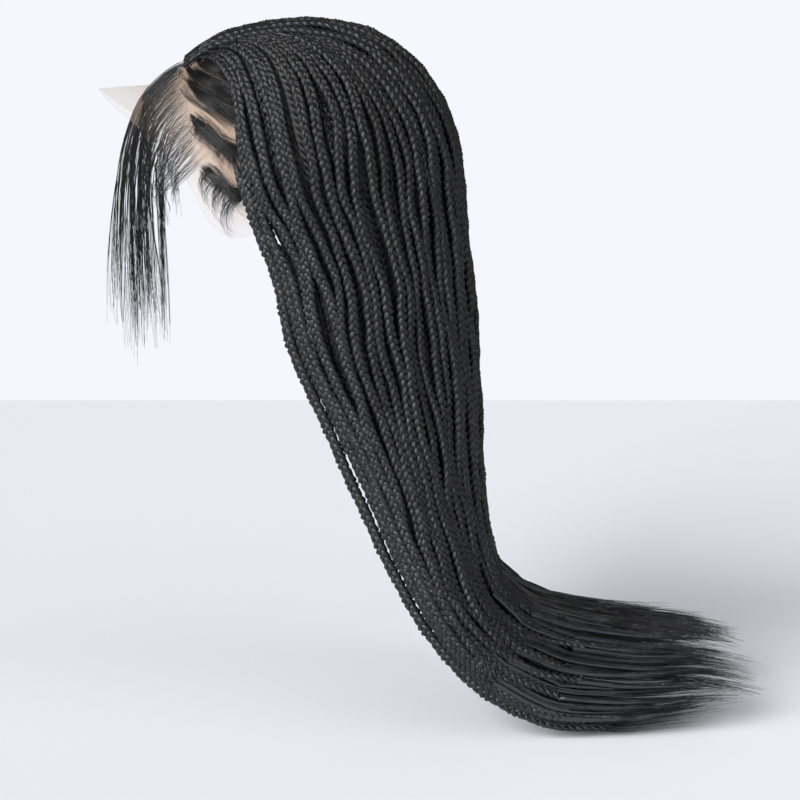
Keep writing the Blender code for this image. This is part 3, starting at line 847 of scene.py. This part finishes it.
def relief_material():
    """Acrylic fibre, plaited: rows of slanted bumps from two numbers, the lane and the way along it, coloured with
    painted shade between the bumps and a painted highlight on their crests.
    """
    material, tree, shader = new_material("acrylic_fibre_underneath_painted_shade")
    lane = add(tree, ATTRIBUTE, attribute_name="lane").outputs["Fac"]
    along = add(tree, ATTRIBUTE, attribute_name="along").outputs["Fac"]
    within = add(tree, MATH, {0: lane}, operation="FRACT").outputs[0]
    within = add(tree, MATH, {0: within, 1: 0.5}, operation="SUBTRACT").outputs[0]
    aside = add(tree, MATH, {0: within}, operation="ABSOLUTE").outputs[0]
    right = add(tree, MATH, {0: within, 1: 0.0}, operation="GREATER_THAN").outputs[0]
    bumps = add(tree, MATH, {0: along, 1: 1 / BUMP_SPACING, 2: aside}, operation="MULTIPLY_ADD").outputs[0]
    bumps = add(tree, MATH, {0: right, 1: 0.5, 2: bumps}, operation="MULTIPLY_ADD").outputs[0]
    bumps = add(tree, MATH, {0: bumps, 1: math.pi}, operation="MULTIPLY").outputs[0]
    bumps = add(tree, MATH, {0: bumps}, operation="SINE").outputs[0]
    bumps = add(tree, MATH, {0: bumps}, operation="ABSOLUTE").outputs[0]
    crest = {"Value": aside, "From Max": 0.5, "To Min": 1.0, "To Max": 0.0}
    crest = add(tree, RANGE, crest, interpolation_type=SMOOTH).outputs[0]
    height = add(tree, MATH, {0: bumps, 1: crest}, operation="MULTIPLY").outputs[0]
    relief = add(tree, "ShaderNodeBump", {"Height": height, "Strength": 0.9, "Distance": 1.5 * MM}).outputs[0]
    # Painted shade and highlight: the colour follows the bumps' height, darkest between bumps and at the lane edges,
    # lightest on the crests.
    ramp = add(tree, "ShaderNodeValToRGB", {"Fac": height})
    ramp.color_ramp.elements[0].color, ramp.color_ramp.elements[1].color = linear("050506"), linear("1d1d21")
    tree.links.new(ramp.outputs["Color"], shader.inputs["Base Color"])
    tree.links.new(relief, shader.inputs["Normal"])
    shader.inputs["Roughness"].default_value = 0.5
    return material


UNDERNEATH = relief_material()
print("relief material:", UNDERNEATH.name)

# %% A closed shell between two grids


def face_out(piece):
    """Turns the faces of a closed mesh outwards."""
    built = bmesh.new()
    built.from_mesh(piece.data)
    bmesh.ops.recalc_face_normals(built, faces=built.faces)
    if built.calc_volume(signed=True) < 0:
        bmesh.ops.reverse_faces(built, faces=built.faces)
    built.to_mesh(piece.data)
    built.free()


def lengths_along(points):
    """How far along a line each of its points is."""
    gone = [0.0]
    for before, after in zip(points, points[1:]):
        gone.append(gone[-1] + (after - before).length)
    return gone


def grid_shell(name, outer, inner, material, lanes):
    """A closed shell between two grids of points, with lane and along stored for its material."""
    columns, rows = len(outer), len(outer[0])
    places = [place * MM for sheet in (outer, inner) for column in sheet for place in column]
    half = columns * rows
    faces = []
    for c in range(columns - 1):
        for r in range(rows - 1):
            a, b, d, e = c * rows + r, c * rows + r + 1, (c + 1) * rows + r + 1, (c + 1) * rows + r
            faces += [(a, b, d, e), (half + e, half + d, half + b, half + a)]
    sides = [(c * rows + r, c * rows + r + 1, c > 0) for r in range(rows - 1) for c in (0, columns - 1)]
    sides += [(c * rows + r, (c + 1) * rows + r, r == 0) for c in range(columns - 1) for r in (0, rows - 1)]
    for a, b, turned in sides:
        face = (a, b, half + b, half + a)
        faces.append(face[::-1] if turned else face)
    mesh = bpy.data.meshes.new(name)
    mesh.from_pydata(places, [], faces)
    lane_values = [lane for _ in (outer, inner) for lane in lanes for _ in range(rows)]
    along_values = [gone for sheet in (outer, inner) for column in sheet for gone in lengths_along(column)]
    mesh.attributes.new("lane", "FLOAT", "POINT").data.foreach_set("value", lane_values)
    mesh.attributes.new("along", "FLOAT", "POINT").data.foreach_set("value", along_values)
    mesh.materials.append(material)
    mesh.shade_smooth()
    shell = bpy.data.objects.new(name, mesh)
    bpy.context.scene.collection.objects.link(shell)
    face_out(shell)
    return shell


print("a shell keeps the lane and the way along it, for its material")

# %% The lowest layer
UNDER_COLUMNS, UNDER_FROM = 54, 10.2
UNDER_LANES = 26
INNER_LIFT = 0.02  # the share by which the shell stays clear of the cap


def build_under_hair():
    """One shell a side, with a ragged lower edge at the back, where it lies between loose ends."""
    for side, word in SIDES:
        chance = random.Random(90 + side)
        outer, inner, lanes = [], [], []
        for column in range(UNDER_COLUMNS + 1):
            share = column / UNDER_COLUMNS
            pairs = flow(share, side)[3:-3]
            ragged = mix(chance.uniform(-0.4, 0.6), 1.0, smooth_step((share - 0.2) * 4))
            pairs[-1] = tuple(mix(before, after, ragged) for before, after in zip(pairs[-2], pairs[-1]))
            outer.append([at_depth(pair, UNDER_FROM)[0] for pair in pairs])
            inner.append([mix(pair[1], pair[0], INNER_LIFT) for pair in pairs])
            lanes.append(share * UNDER_LANES)
        shell = grid_shell(f"under_hair_{word}", outer, inner, UNDERNEATH, lanes)
        finish_piece(shell, [f"under_lock_{word}_{i}" for i in (1, 2, 3)])


build_under_hair()

# %% [markdown]
# ## Hair gathered at the temples
#
# At the temples the hair is drawn back in five flat rows, with bare lace between them. Each row is a core of a few
# thick strands that keep the light out, under a fan of fine ones that starts on the hairline and runs to where its
# braid begins. Strays blur its edges, and short flicks that escaped curl forwards and down. A painted stripe would
# be quicker, but it shows no edge of single hairs. All four are tufts.

# %% Temple rows
TEMPLE_ROWS = [
    # start azimuth, start elevation, end azimuth, end elevation, half_width, flicks, how far they fall in degrees
    (24, 55, 66, 52, 7.0, 3, 2),
    (16, 52, 69.5, 44, 7.5, 4, 3),
    (27.5, 47.5, 68.5, 36, 8.5, 9, 5),
    (40.5, 35, 68, 20.5, 6.5, 24, 11),
    (50, 16, 70, 1.5, 5.0, 34, 21),
]
ROW_POINTS = 7


def cap_line(stops, side):
    """A guide over the cap through stops of azimuth, elevation and lift above its inside."""
    line = []
    for azimuth, elevation, lift in stops:
        direction = bearing(azimuth, elevation, side)
        line.append((on_cap(direction, lift), direction))
    return line


def row_line(row, side, lift):
    """A guide along a temple row, rising from the lace to lift."""
    stops = []
    for step in range(ROW_POINTS):
        part = step / (ROW_POINTS - 1)
        rise = CAP_WALL + 0.5 + lift * smooth_step(part * 1.8)
        stops.append((mix(row[0] - 1, row[2] + 1, part), mix(row[1], row[3], part), rise))
    return cap_line(stops, side)


def flick_lines(row, side, chance):
    """Short hairs that leave a row and curl forwards, down and back again."""
    lines = []
    count, fall = row[5:]
    for _ in range(count):
        part = chance.uniform(0.12, 1.0)
        azimuth, elevation = mix(row[0], row[2], part), mix(row[1], row[3], part)
        reach = fall * chance.uniform(0.6, 1.1) * mix(0.6, 1.0, part)
        bend = reach * chance.uniform(0.2, 0.45)
        stops = [(azimuth + 2, elevation + 1.0, 3.0)]
        for forwards, down, lift in ((0.6, 0.2, 2.6), (1.0, 0.5, 2.2), (0.8, 0.8, 2.0), (0.1, 1.0, 2.0)):
            stops.append((azimuth - bend * forwards, elevation - reach * down, lift))
        lines.append(guide(cap_line(stops, side), 1.0, chance.uniform(0, 40)))
    return lines


print("temple rows:", len(TEMPLE_ROWS), "a side")

# %% Hair for the temple rows
CORE_LIFT, FAN_LIFT = 1.8, 2.6
CORE = {"Hairs": 9, "Hair": 0.7 * MM, "Root Hair": 0.05, "Tip Hair": 1.0, "Latest Root": 0.3, "Wave": 0.0}
CORE |= {"Root Across": 0.4 * MM, "Root Out": 0.1 * MM, "Tip Out": 1.0 * MM, "Spacing": 5 * MM, "Shortest": 0.95}
CORE |= {"Sides": 4, "Material": FINE}
FAN = {"Hairs": 160, "Hair": 0.17 * MM, "Root Hair": 0.3, "Tip Hair": 0.9, "Latest Root": 0.6, "Wave": 1.6 * MM}
FAN |= {"Root Across": 1.6 * MM, "Root Out": 0.3 * MM, "Tip Out": 1.2 * MM, "Spacing": 5.5 * MM, "Shortest": 0.9}
FAN |= {"Material": FINE}
STRAYS = FAN | {"Hairs": 100, "Hair": 0.13 * MM, "Wave": 2.6 * MM, "Root Hair": 1.0, "Tip Hair": 0.4}
FLICKS = {"Hairs": 5, "Hair": 0.14 * MM, "Tip Hair": 0.3, "Wave": 0.5 * MM, "Spacing": 3.5 * MM, "Shortest": 0.5}
FLICKS |= {"Root Across": 2.0 * MM, "Root Out": 0.3 * MM, "Tip Across": 3.0 * MM, "Tip Out": 0.7 * MM}
FLICKS |= {"Material": FINE}


def row_parts(row, number, side, chance):
    """The core, fan, strays and flicks of one row."""
    wide = row[4] * MM
    core = [guide(row_line(row, side, CORE_LIFT), 1.0, chance.uniform(0, 40))]
    fan = [guide(row_line(row, side, FAN_LIFT), 1.0, chance.uniform(0, 40))]
    flicks = flick_lines(row, side, chance)
    return [
        grow("core", TUFT, core, CORE | {"Tip Across": wide * 0.5, "Seed": number}),
        grow("fan", TUFT, fan, FAN | {"Tip Across": wide, "Seed": 10 + number}),
        grow("strays", TUFT, fan, STRAYS | {"Root Across": wide, "Tip Across": wide * 1.5, "Seed": 30 + number}),
        grow("flicks", TUFT, flicks, FLICKS | {"Seed": 20 + number}),
    ]


def build_temple_rows():
    """One piece a side for all its rows."""
    for side, word in SIDES:
        chance = random.Random(31 + side)
        parts = []
        for number, row in enumerate(TEMPLE_ROWS, 1):
            parts += row_parts(row, number, side, chance)
        nodes = [f"temple_row_{word}_{i}" for i in (1, 2, 3)]
        finish_piece(join_all(f"temple_rows_{word}", parts), nodes)


build_temple_rows()

# %% [markdown]
# ## The loose braids in front
#
# Three braids on each side leave the temple rows and hang free, just before the edge of the rest. They could be
# drawn as curves by hand, but then they would stray from the hair beside them. So their guides run over the cap for
# a while, and then keep a few millimetres off the edge of every section. The plait tree makes them, as before.

# %% Front braids
FRONT_BRAIDS = [
    # stops over the cap as azimuth, elevation and lift, then how far before the edge it hangs, high and low
    ([(66, 41, 5.5), (68.5, 36, 7), (72, 22.5, 8), (76, 1.5, 9), (78.5, -9, 9.5)], 10.6, 10.6),
    ([(68, 33, 3), (71, 27, 5.5), (77, 12, 8), (81, -6, 9)], 4.6, 0.5),
    ([(66, 19, 3), (70, 12, 6), (76.5, -2, 8.5), (82, -12, 9)], 0.8, -6.0),
]
FRONT_BRAID_SECTIONS = 10
FRONT_BRAID_DEPTH, EDGE_PULL = 3.0, 5.0


def front_braid_line(stops, high, low, side):
    """A guide over the cap, then beside the front edge of the hanging hair."""
    line = cap_line(stops, side)
    for number, section in enumerate(SECTIONS[:FRONT_BRAID_SECTIONS]):
        offset = mix(high, low, smooth_step(number / 3) * smooth_step((6.5 - number) / 2.5))
        offset -= EDGE_PULL * smooth_step((number - 4) / 3)
        pairs = [section_points(section, share, side) for share in (1, 0.96)]
        (edge, out), (beside, _) = (at_depth(pair, FRONT_BRAID_DEPTH) for pair in pairs)
        line.append((edge + (edge - beside).normalized() * offset, out))
    return line


def build_front_braids():
    """One piece a side, with its plaits and their loose ends."""
    for side, word in SIDES:
        chance = random.Random(50 + side)
        plaits, tufts = [], []
        for stops, high, low in FRONT_BRAIDS:
            line = front_braid_line(stops, high, low, side)
            plaited, free = cut_at(line, chance.uniform(70, 95))
            size, phase = chance.uniform(0.98, 1.05), chance.uniform(0, 40)
            plaits.append(guide(plaited, size, phase, 1.0 * MM))
            tufts.append(guide(plaited[-3:-1] + free, size, phase))
        braids = grow("front", PLAIT, plaits, {"Wander": 0.8 * MM, "Material": PLAITED})
        hairs = grow("hairs", TUFT, tufts, {"Hairs": 30, "Seed": 60 + side, "Material": LOOSE})
        nodes = [f"front_braid_{word}_{i}" for i in (1, 2)]
        finish_piece(join_all(f"front_braids_{word}", [braids, hairs]), nodes)


build_front_braids()

# %% [markdown]
# ## The fine hair in front
#
# Along the hairline of such a wig long single hairs are knotted into the lace and left free, to be laid or cut
# later. They arch forwards over the lace and then fall almost straight. Blender's hair curves could draw them, but
# they have to be plain meshes in the end, so each tuft is one lock of them, wide at the hairline and ragged below.

# %% The edges of the cap
CAP_EDGES = [
    # azimuth, net_edge, lace_edge, lace_lift
    (-9, 79, 27, 33),
    (0, 80, 29, 44),
    (9, 79, 27, 33),
    (18, 76, 24, 14),
    (28, 71, 21, 5),
    (40, 62, 10, 2),
    (54, 50, -10, 0),
    (70, 32, -17, 0),
    (84, 14, -9, 0),
    (100, -3, -6, 0),
    (125, -16, -16, 0),
    (150, -28, -28, 0),
    (180, -31, -31, 0),
    (210, -28, -28, 0),
]
FLAP_START = 0.667


def flap_rise(lift, part):
    """How far the spare lace stands off in front at a part of its depth."""
    return lift * max(0.0, (part - FLAP_START) / (1 - FLAP_START)) ** 1.6


print("the spare lace stands off by", max(row[3] for row in CAP_EDGES), "mm at most")

# %% Fringe
FRINGE_FALLS = [
    # x, y and z where a cluster ends, and how far its locks part from each other
    (-119, 12, -208, 2.0),
    (-105, 20, -226, 3.0),
    (-100, 22, -205, 3.0),
    (-88, 34, -219, 2.6),
    (-82, 50, -130, 2.2),
]
FRINGE_LOCKS = 26
FRINGE_ARCH = 36
FRINGE_FROM, FRINGE_TO = 12, 48  # azimuths between which the locks start
FALL_POINTS = 7
FRINGE = {"Hairs": 11, "Hair": 0.14 * MM, "Root Hair": 0.5, "Tip Hair": 0.6, "Latest Root": 0.08, "Wave": 2.4 * MM}
FRINGE |= {"Root Across": 3.4 * MM, "Root Out": 0.6 * MM, "Tip Across": 2.5 * MM, "Tip Out": 2.5 * MM}
FRINGE |= {"Shortest": 0.72, "Material": FINE}


def fringe_line(azimuth, fall, side):
    """One lock of fine hair: up from the hairline, forwards over the lace in an arch, and down."""
    _, hairline = read_table(HAIRLINE, azimuth)
    _, net_edge, lace_edge, lift = read_table(CAP_EDGES, azimuth)
    stops = []
    for share, above_lace in ((-0.04, 1.0), (0.15, 5.0), (0.36, 8.0)):
        elevation = mix(hairline, lace_edge, share)
        part = (net_edge - elevation) / (net_edge - lace_edge)
        stops.append((azimuth - 10 * share, elevation, CAP_WALL + above_lace + flap_rise(lift, part)))
    line = cap_line(stops, side)
    crest, out = line.pop()
    ahead = crest + (crest - line[-1][0]).normalized() * FRINGE_ARCH
    above = Vector((fall.x, mix(ahead.y, fall.y, 0.6), mix(crest.z, fall.z, 0.4)))
    parts = [step / FALL_POINTS for step in range(FALL_POINTS + 1)]
    return line + [(bezier(crest, ahead, above, fall, part), out) for part in parts]


def build_fringe():
    """One piece a side, of locks in a few clusters."""
    for side, word in SIDES:
        chance = random.Random(70 + side)
        locks = []
        for number in range(FRINGE_LOCKS):
            part = (number + 0.5) / FRINGE_LOCKS
            cluster = int(part * len(FRINGE_FALLS) + chance.uniform(-0.3, 0.3))
            x, y, z, loose = FRINGE_FALLS[min(cluster, len(FRINGE_FALLS) - 1)]
            fall = Vector((x, side * y, z)) + Vector([chance.gauss(0, loose) for _ in range(3)])
            fall.z += chance.uniform(-6, 14)
            line = fringe_line(mix(FRINGE_FROM, FRINGE_TO, part**1.15), fall, side)
            locks.append(guide(line, 1.0, chance.uniform(0, 40)))
        hairs = grow(f"fringe_{word}", TUFT, locks, FRINGE | {"Seed": 80 + side})
        finish_piece(hairs, [f"front_fringe_{word}"])


build_fringe()

# %% [markdown]
# ## Lace and net
#
# The front of the cap is nylon lace, knitted as a fine six-sided net and tinted beige, so fine that it nearly
# vanishes. Behind it is a dark stretch net. Threads of real geometry would take millions of faces, so both are
# drawn by their materials, from the cloth's own UV map, which is in millimetres.

# %% Lines on a cloth


def bars(tree, uv, angle, pitch, width):
    """Soft parallel lines on a cloth, 1 on the line and 0 between, pitch millimetres apart."""
    way = (math.cos(angle), math.sin(angle), 0)
    place = add(tree, VECTOR, {0: uv, 1: way}, operation="DOT_PRODUCT").outputs["Value"]
    wave = add(tree, MATH, {0: place, 1: math.tau / pitch}, operation="MULTIPLY").outputs[0]
    crest = add(tree, MATH, {0: wave}, operation="COSINE").outputs[0]
    return add(tree, RANGE, {"Value": crest, "From Min": 1 - width, "From Max": 1.0}).outputs[0]


def two_colours(tree, part, first, second):
    """A colour that goes from the first to the second as part goes from 0 to 1."""
    colour = add(tree, "ShaderNodeMix", {"Factor": part, 6: linear(first), 7: linear(second)}, data_type="RGBA")
    return colour.outputs[2]


print("the lines of a cloth are drawn on its cloth_mm map")

# %% [markdown]
# ### The lace's finish
#
# To the eye the lace is a beige haze. It is denser where hair is knotted in, with a dark dot at each knot, and
# almost clear at its spare edge, where it is single. The real holes are about 0.8 mm across; they are drawn 1.7 mm
# apart, and the knots about 2 mm apart, so that they show.

# %% Lace material
LACE_PITCH, KNOTS_PER_MM = 1.7, 0.55
TIED_ALPHA, SPARE_ALPHA, THREAD_ALPHA = 0.55, 0.05, 0.06


def lace_material():
    """Nylon tulle, warp knitted: a beige haze, denser where hair is knotted in, and clear at its spare edge."""
    material, tree, shader = new_material("nylon_lace_knitted")
    uv = add(tree, "ShaderNodeUVMap", uv_map="cloth_mm").outputs[0]
    edge = add(tree, ATTRIBUTE, attribute_name="edge").outputs["Fac"]
    net = None
    for angle in (0.0, math.pi / 3, -math.pi / 3):
        line = bars(tree, uv, angle, LACE_PITCH, 0.9)
        net = add(tree, MATH, {0: net, 1: line}, operation="MAXIMUM").outputs[0] if net else line
    dots = {"Vector": uv, "Scale": KNOTS_PER_MM, "Randomness": 0.5}
    dots = add(tree, "ShaderNodeTexVoronoi", dots).outputs["Distance"]
    dots = {"Value": dots, "From Min": 0.16, "From Max": 0.3, "To Min": 1.0, "To Max": 0.0}
    tied = {"Value": edge, "From Min": 0.35, "From Max": 0.62, "To Min": 0.75, "To Max": 0.0}
    dots, tied = (add(tree, RANGE, values).outputs[0] for values in (dots, tied))
    knots = add(tree, MATH, {0: dots, 1: tied}, operation="MULTIPLY").outputs[0]
    colour = two_colours(tree, knots, "b29a86", "6d4f3c")
    sheer = {"Value": edge, "From Min": 0.3, "From Max": 1.0, "To Min": TIED_ALPHA, "To Max": SPARE_ALPHA}
    sheer = add(tree, RANGE, sheer, interpolation_type=SMOOTH).outputs[0]
    thread = {0: net, 1: THREAD_ALPHA, 2: sheer}
    thread = add(tree, MATH, thread, operation="MULTIPLY_ADD", use_clamp=True).outputs[0]
    relief = add(tree, "ShaderNodeBump", {"Height": net, "Strength": 0.4, "Distance": 0.15 * MM}).outputs[0]
    tree.links.new(colour, shader.inputs["Base Color"])
    tree.links.new(thread, shader.inputs["Alpha"])
    tree.links.new(relief, shader.inputs["Normal"])
    shader.inputs["Roughness"].default_value = 0.6
    shader.inputs["IOR"].default_value = 1.53
    return material


LACE = lace_material()
print("lace material:", LACE.name)

# %% [markdown]
# ### The net's finish
#
# Stretch net is knitted from black nylon with elastane. It is matt; its raised threads carry a bump and are painted
# a little lighter than the gaps between them, a painted highlight. The real threads are about 1 mm apart; they are
# drawn 2.2 mm apart, so that they show.

# %% Net material
NET_PITCH = 2.2


def net_material():
    """Nylon and elastane net, knitted black: matt, with a fine raised grid that is painted a little lighter, a painted
    highlight.
    """
    material, tree, shader = new_material("stretch_net_knitted_painted_highlight")
    uv = add(tree, "ShaderNodeUVMap", uv_map="cloth_mm").outputs[0]
    upright, level = (bars(tree, uv, angle, NET_PITCH, 0.8) for angle in (0.0, math.pi / 2))
    net = add(tree, MATH, {0: upright, 1: level}, operation="MAXIMUM").outputs[0]
    relief = add(tree, "ShaderNodeBump", {"Height": net, "Strength": 0.8, "Distance": 0.4 * MM}).outputs[0]
    # Painted highlight: the threads are coloured lighter than the gaps between them.
    tree.links.new(two_colours(tree, net, "070708", "232327"), shader.inputs["Base Color"])
    tree.links.new(relief, shader.inputs["Normal"])
    shader.inputs["Roughness"].default_value = 0.8
    shader.inputs["IOR"].default_value = 1.53
    return material


NET = net_material()
print("net material:", NET.name)

# %% [markdown]
# ## Sheets for the cap
#
# A cap's cloth is a sheet, stretched over its form. Simulated cloth would sag or wrinkle, and a stretched cap does
# neither, so each sheet is a grid of points on the form, with a thin wall from a Solidify modifier. Its UV map is
# the cloth laid flat, in millimetres, and its flat size is measured along the grid.

# %% Cloth from a grid of points


def cloth_map(mesh, columns, closed):
    """Lays the cloth flat as its UV map, and gives back how deep it is."""
    count, rows = len(columns), len(columns[0])
    across = lengths_along([column[rows // 2] for column in columns + columns[:1]])
    down = [lengths_along(column) for column in columns]
    uv = mesh.uv_layers.new(name="cloth_mm")
    for face in mesh.polygons:
        last_strip = closed and face.index >= (count - 1) * (rows - 1)
        for loop in face.loop_indices:
            c, r = divmod(mesh.loops[loop].vertex_index, rows)
            uv.data[loop].uv = (across[count if last_strip and c == 0 else c], down[c][r])
    return max(column[-1] for column in down)


def cloth(name, columns, wall, material, closed=False):
    """A sheet through columns of points, with its flat map, and edge running 0 to 1 down it."""
    count, rows = len(columns), len(columns[0])
    mesh = bpy.data.meshes.new(name)
    faces = []
    for c in range(count if closed else count - 1):
        here, there = c * rows, (c + 1) % count * rows
        faces += [(here + r, there + r, there + r + 1, here + r + 1) for r in range(rows - 1)]
    mesh.from_pydata([place * MM for column in columns for place in column], [], faces)
    edge = [r / (rows - 1) for r in range(rows)] * count
    mesh.attributes.new("edge", "FLOAT", "POINT").data.foreach_set("value", edge)
    depth = cloth_map(mesh, columns, closed)
    width = max(lengths_along([column[r] for column in columns])[-1] for r in range(rows))
    area = sum(face.area for face in mesh.polygons)
    mesh.materials.append(material)
    mesh.shade_smooth()
    sheet = bpy.data.objects.new(name, mesh)
    bpy.context.scene.collection.objects.link(sheet)
    thicken = sheet.modifiers.new("wall", "SOLIDIFY")
    thicken.thickness, thicken.offset = wall * MM, 0.0
    print(name, "is", round(width), "x", round(depth), "mm, area", round(area, 4), "m2")
    return sheet, (width * MM, depth * MM), area


# %% [markdown]
# ### The lace front
#
# The lace runs round the front from side to side. Its columns stand closer together in front, where it is seen,
# and its uncut spare edge lifts off the form as a flap with a faint ruffle.

# %% The lace front
LACE_END, LACE_SPREAD, LACE_GAP = 98, 1.3, 0.62  # degrees it reaches to each side, crowding in front, gap to the net
LACE_COLUMNS, LACE_ROWS, LACE_WALL = 96, 24, 0.4
RUFFLE = 1.3


def build_lace():
    """The sheet from the net to the spare edge."""
    columns = []
    for column in range(LACE_COLUMNS + 1):
        across = mix(-1.0, 1.0, column / LACE_COLUMNS)
        azimuth = LACE_END * abs(across) ** LACE_SPREAD
        side = -1 if across < 0 else 1
        _, net_edge, lace_edge, lift = read_table(CAP_EDGES, azimuth)
        points = []
        for ring in range(LACE_ROWS + 1):
            part = ring / LACE_ROWS
            ruffle = RUFFLE * math.sin(azimuth * side * 0.21 + 1.0) * smooth_step((part - 0.75) * 4)
            direction = bearing(azimuth, mix(net_edge - LACE_GAP, lace_edge, part), side)
            points.append(on_cap(direction, CAP_WALL / 2 + flap_rise(lift, part) + ruffle))
        columns.append(points)
    lace, flat, area = cloth("lace_front_cloth", columns, LACE_WALL, LACE)
    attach(lace, "root")
    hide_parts("lace_front")


build_lace()

# %% [markdown]
# ### The net
#
# The net closes the crown and the nape behind the lace. It is hardly seen under the hair, but from inside and
# below it is what holds everything, so it is a closed ring of columns from the crown down to its edge.

# %% The net
NET_COLUMNS, NET_ROWS, NET_WALL = 96, 20, 1.0
NET_TOP = 89.5  # elevation of its innermost ring, in degrees


def build_net():
    """The sheet from the crown down to the lace and the nape."""
    columns = []
    for turn in range(NET_COLUMNS):
        around = 360 * turn / NET_COLUMNS
        side = 1 if around <= 180 else -1
        azimuth = min(around, 360 - around)
        _, net_edge, _, _ = read_table(CAP_EDGES, azimuth)
        elevations = [mix(NET_TOP, net_edge, ring / NET_ROWS) for ring in range(NET_ROWS + 1)]
        columns.append([on_cap(bearing(azimuth, elevation, side), CAP_WALL / 2) for elevation in elevations])
    net, flat, area = cloth("cap_net_cloth", columns, NET_WALL, NET, closed=True)
    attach(net, "root")
    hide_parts("cap_net")


build_net()

# %% [markdown]
# ## The camera
#
# A long lens from about 1.5 m, a little above the wig, sees it as the photo does. The target is the middle of the
# frame, and the angle is how wide the frame opens there.

# %% Camera
CAMERA_TARGET = Vector((0.082, 0, -0.259))
CAMERA_DISTANCE, CAMERA_HEIGHT_ANGLE, CAMERA_ANGLE = 1.5, 10.0, 21.57


def build_camera():
    """A camera at the photo's angle."""
    rise = math.radians(CAMERA_HEIGHT_ANGLE)
    camera = bpy.data.objects.new("camera", bpy.data.cameras.new("camera"))
    camera.data.angle = math.radians(CAMERA_ANGLE)
    camera.location = CAMERA_TARGET + Vector((0, -math.cos(rise), math.sin(rise))) * CAMERA_DISTANCE
    camera.rotation_euler = (math.radians(90 - CAMERA_HEIGHT_ANGLE), 0, 0)
    bpy.context.scene.collection.objects.link(camera)
    bpy.context.scene.camera = camera
    print("camera at", tuple(round(c, 3) for c in camera.location))


build_camera()

# %% [markdown]
# ## The floor
#
# The ends of the hair trail on a pale painted surface, smooth and almost matt, so that it takes a soft shadow and
# mirrors nothing. It ends where the wall's pale tone takes over.

# %% Floor
FLOOR_LEVEL, FLOOR_FRONT, FLOOR_BACK, FLOOR_SIDE = -485 * MM, -3, 1.28, 4


def build_floor():
    """A plain surface just under the lowest hair."""
    mesh = bpy.data.meshes.new("floor")
    corners = ((-1, FLOOR_FRONT), (1, FLOOR_FRONT), (1, FLOOR_BACK), (-1, FLOOR_BACK))
    mesh.from_pydata([(side * FLOOR_SIDE, y, FLOOR_LEVEL) for side, y in corners], [], [(0, 1, 2, 3)])
    floor = bpy.data.objects.new("floor", mesh)
    material, _, shader = new_material("painted_table")
    shader.inputs["Base Color"].default_value = linear("eff0f6")
    shader.inputs["Roughness"].default_value = 0.6
    mesh.materials.append(material)
    bpy.context.scene.collection.objects.link(floor)
    print("floor at", FLOOR_LEVEL, "m")


build_floor()

# %% [markdown]
# ## The light
#
# Black hair shows its form only by its glints, so most of the light is one wide key from the front left, with a
# weak fill and a weaker light from behind. Lamps close by would light the floor unevenly, so all three are suns, wide
# enough for soft shadows. The wall is the world itself: pale where the camera sees it, and dim as a light, because
# an even haze would turn the black grey.

# %% Light and wall
WALL_LIGHT, WALL_SEEN = 0.07, 1.0
LIGHTS = (
    # name, from where, how wide in degrees, strength
    ("key", (-1.0, -1.05, 0.72), 44, 5.3),
    ("fill", (1.0, -1.4, 1.0), 80, 1.1),
    ("back", (0.6, 1.2, 0.9), 70, 0.2),
)


def build_light():
    """Three wide suns, and a pale wall that hardly lights anything."""
    scene = bpy.context.scene
    scene.view_settings.view_transform = "Standard"
    world = bpy.data.worlds.new("studio")
    scene.world = world
    world.use_nodes = True
    nodes = world.node_tree
    seen = add(nodes, "ShaderNodeLightPath").outputs["Is Camera Ray"]
    strength = add(nodes, RANGE, {"Value": seen, "To Min": WALL_LIGHT, "To Max": WALL_SEEN}).outputs[0]
    background = nodes.nodes["Background"]
    background.inputs["Color"].default_value = linear("f4f7fd")
    nodes.links.new(strength, background.inputs["Strength"])
    for name, place, width, strength in LIGHTS:
        light = bpy.data.objects.new(name, bpy.data.lights.new(name, "SUN"))
        light.data.angle, light.data.energy = math.radians(width), strength
        light.location = place
        light.rotation_euler = light.location.to_track_quat("Z", "Y").to_euler()
        scene.collection.objects.link(light)
    print("lights:", ", ".join(name for name, *_ in LIGHTS))


build_light()
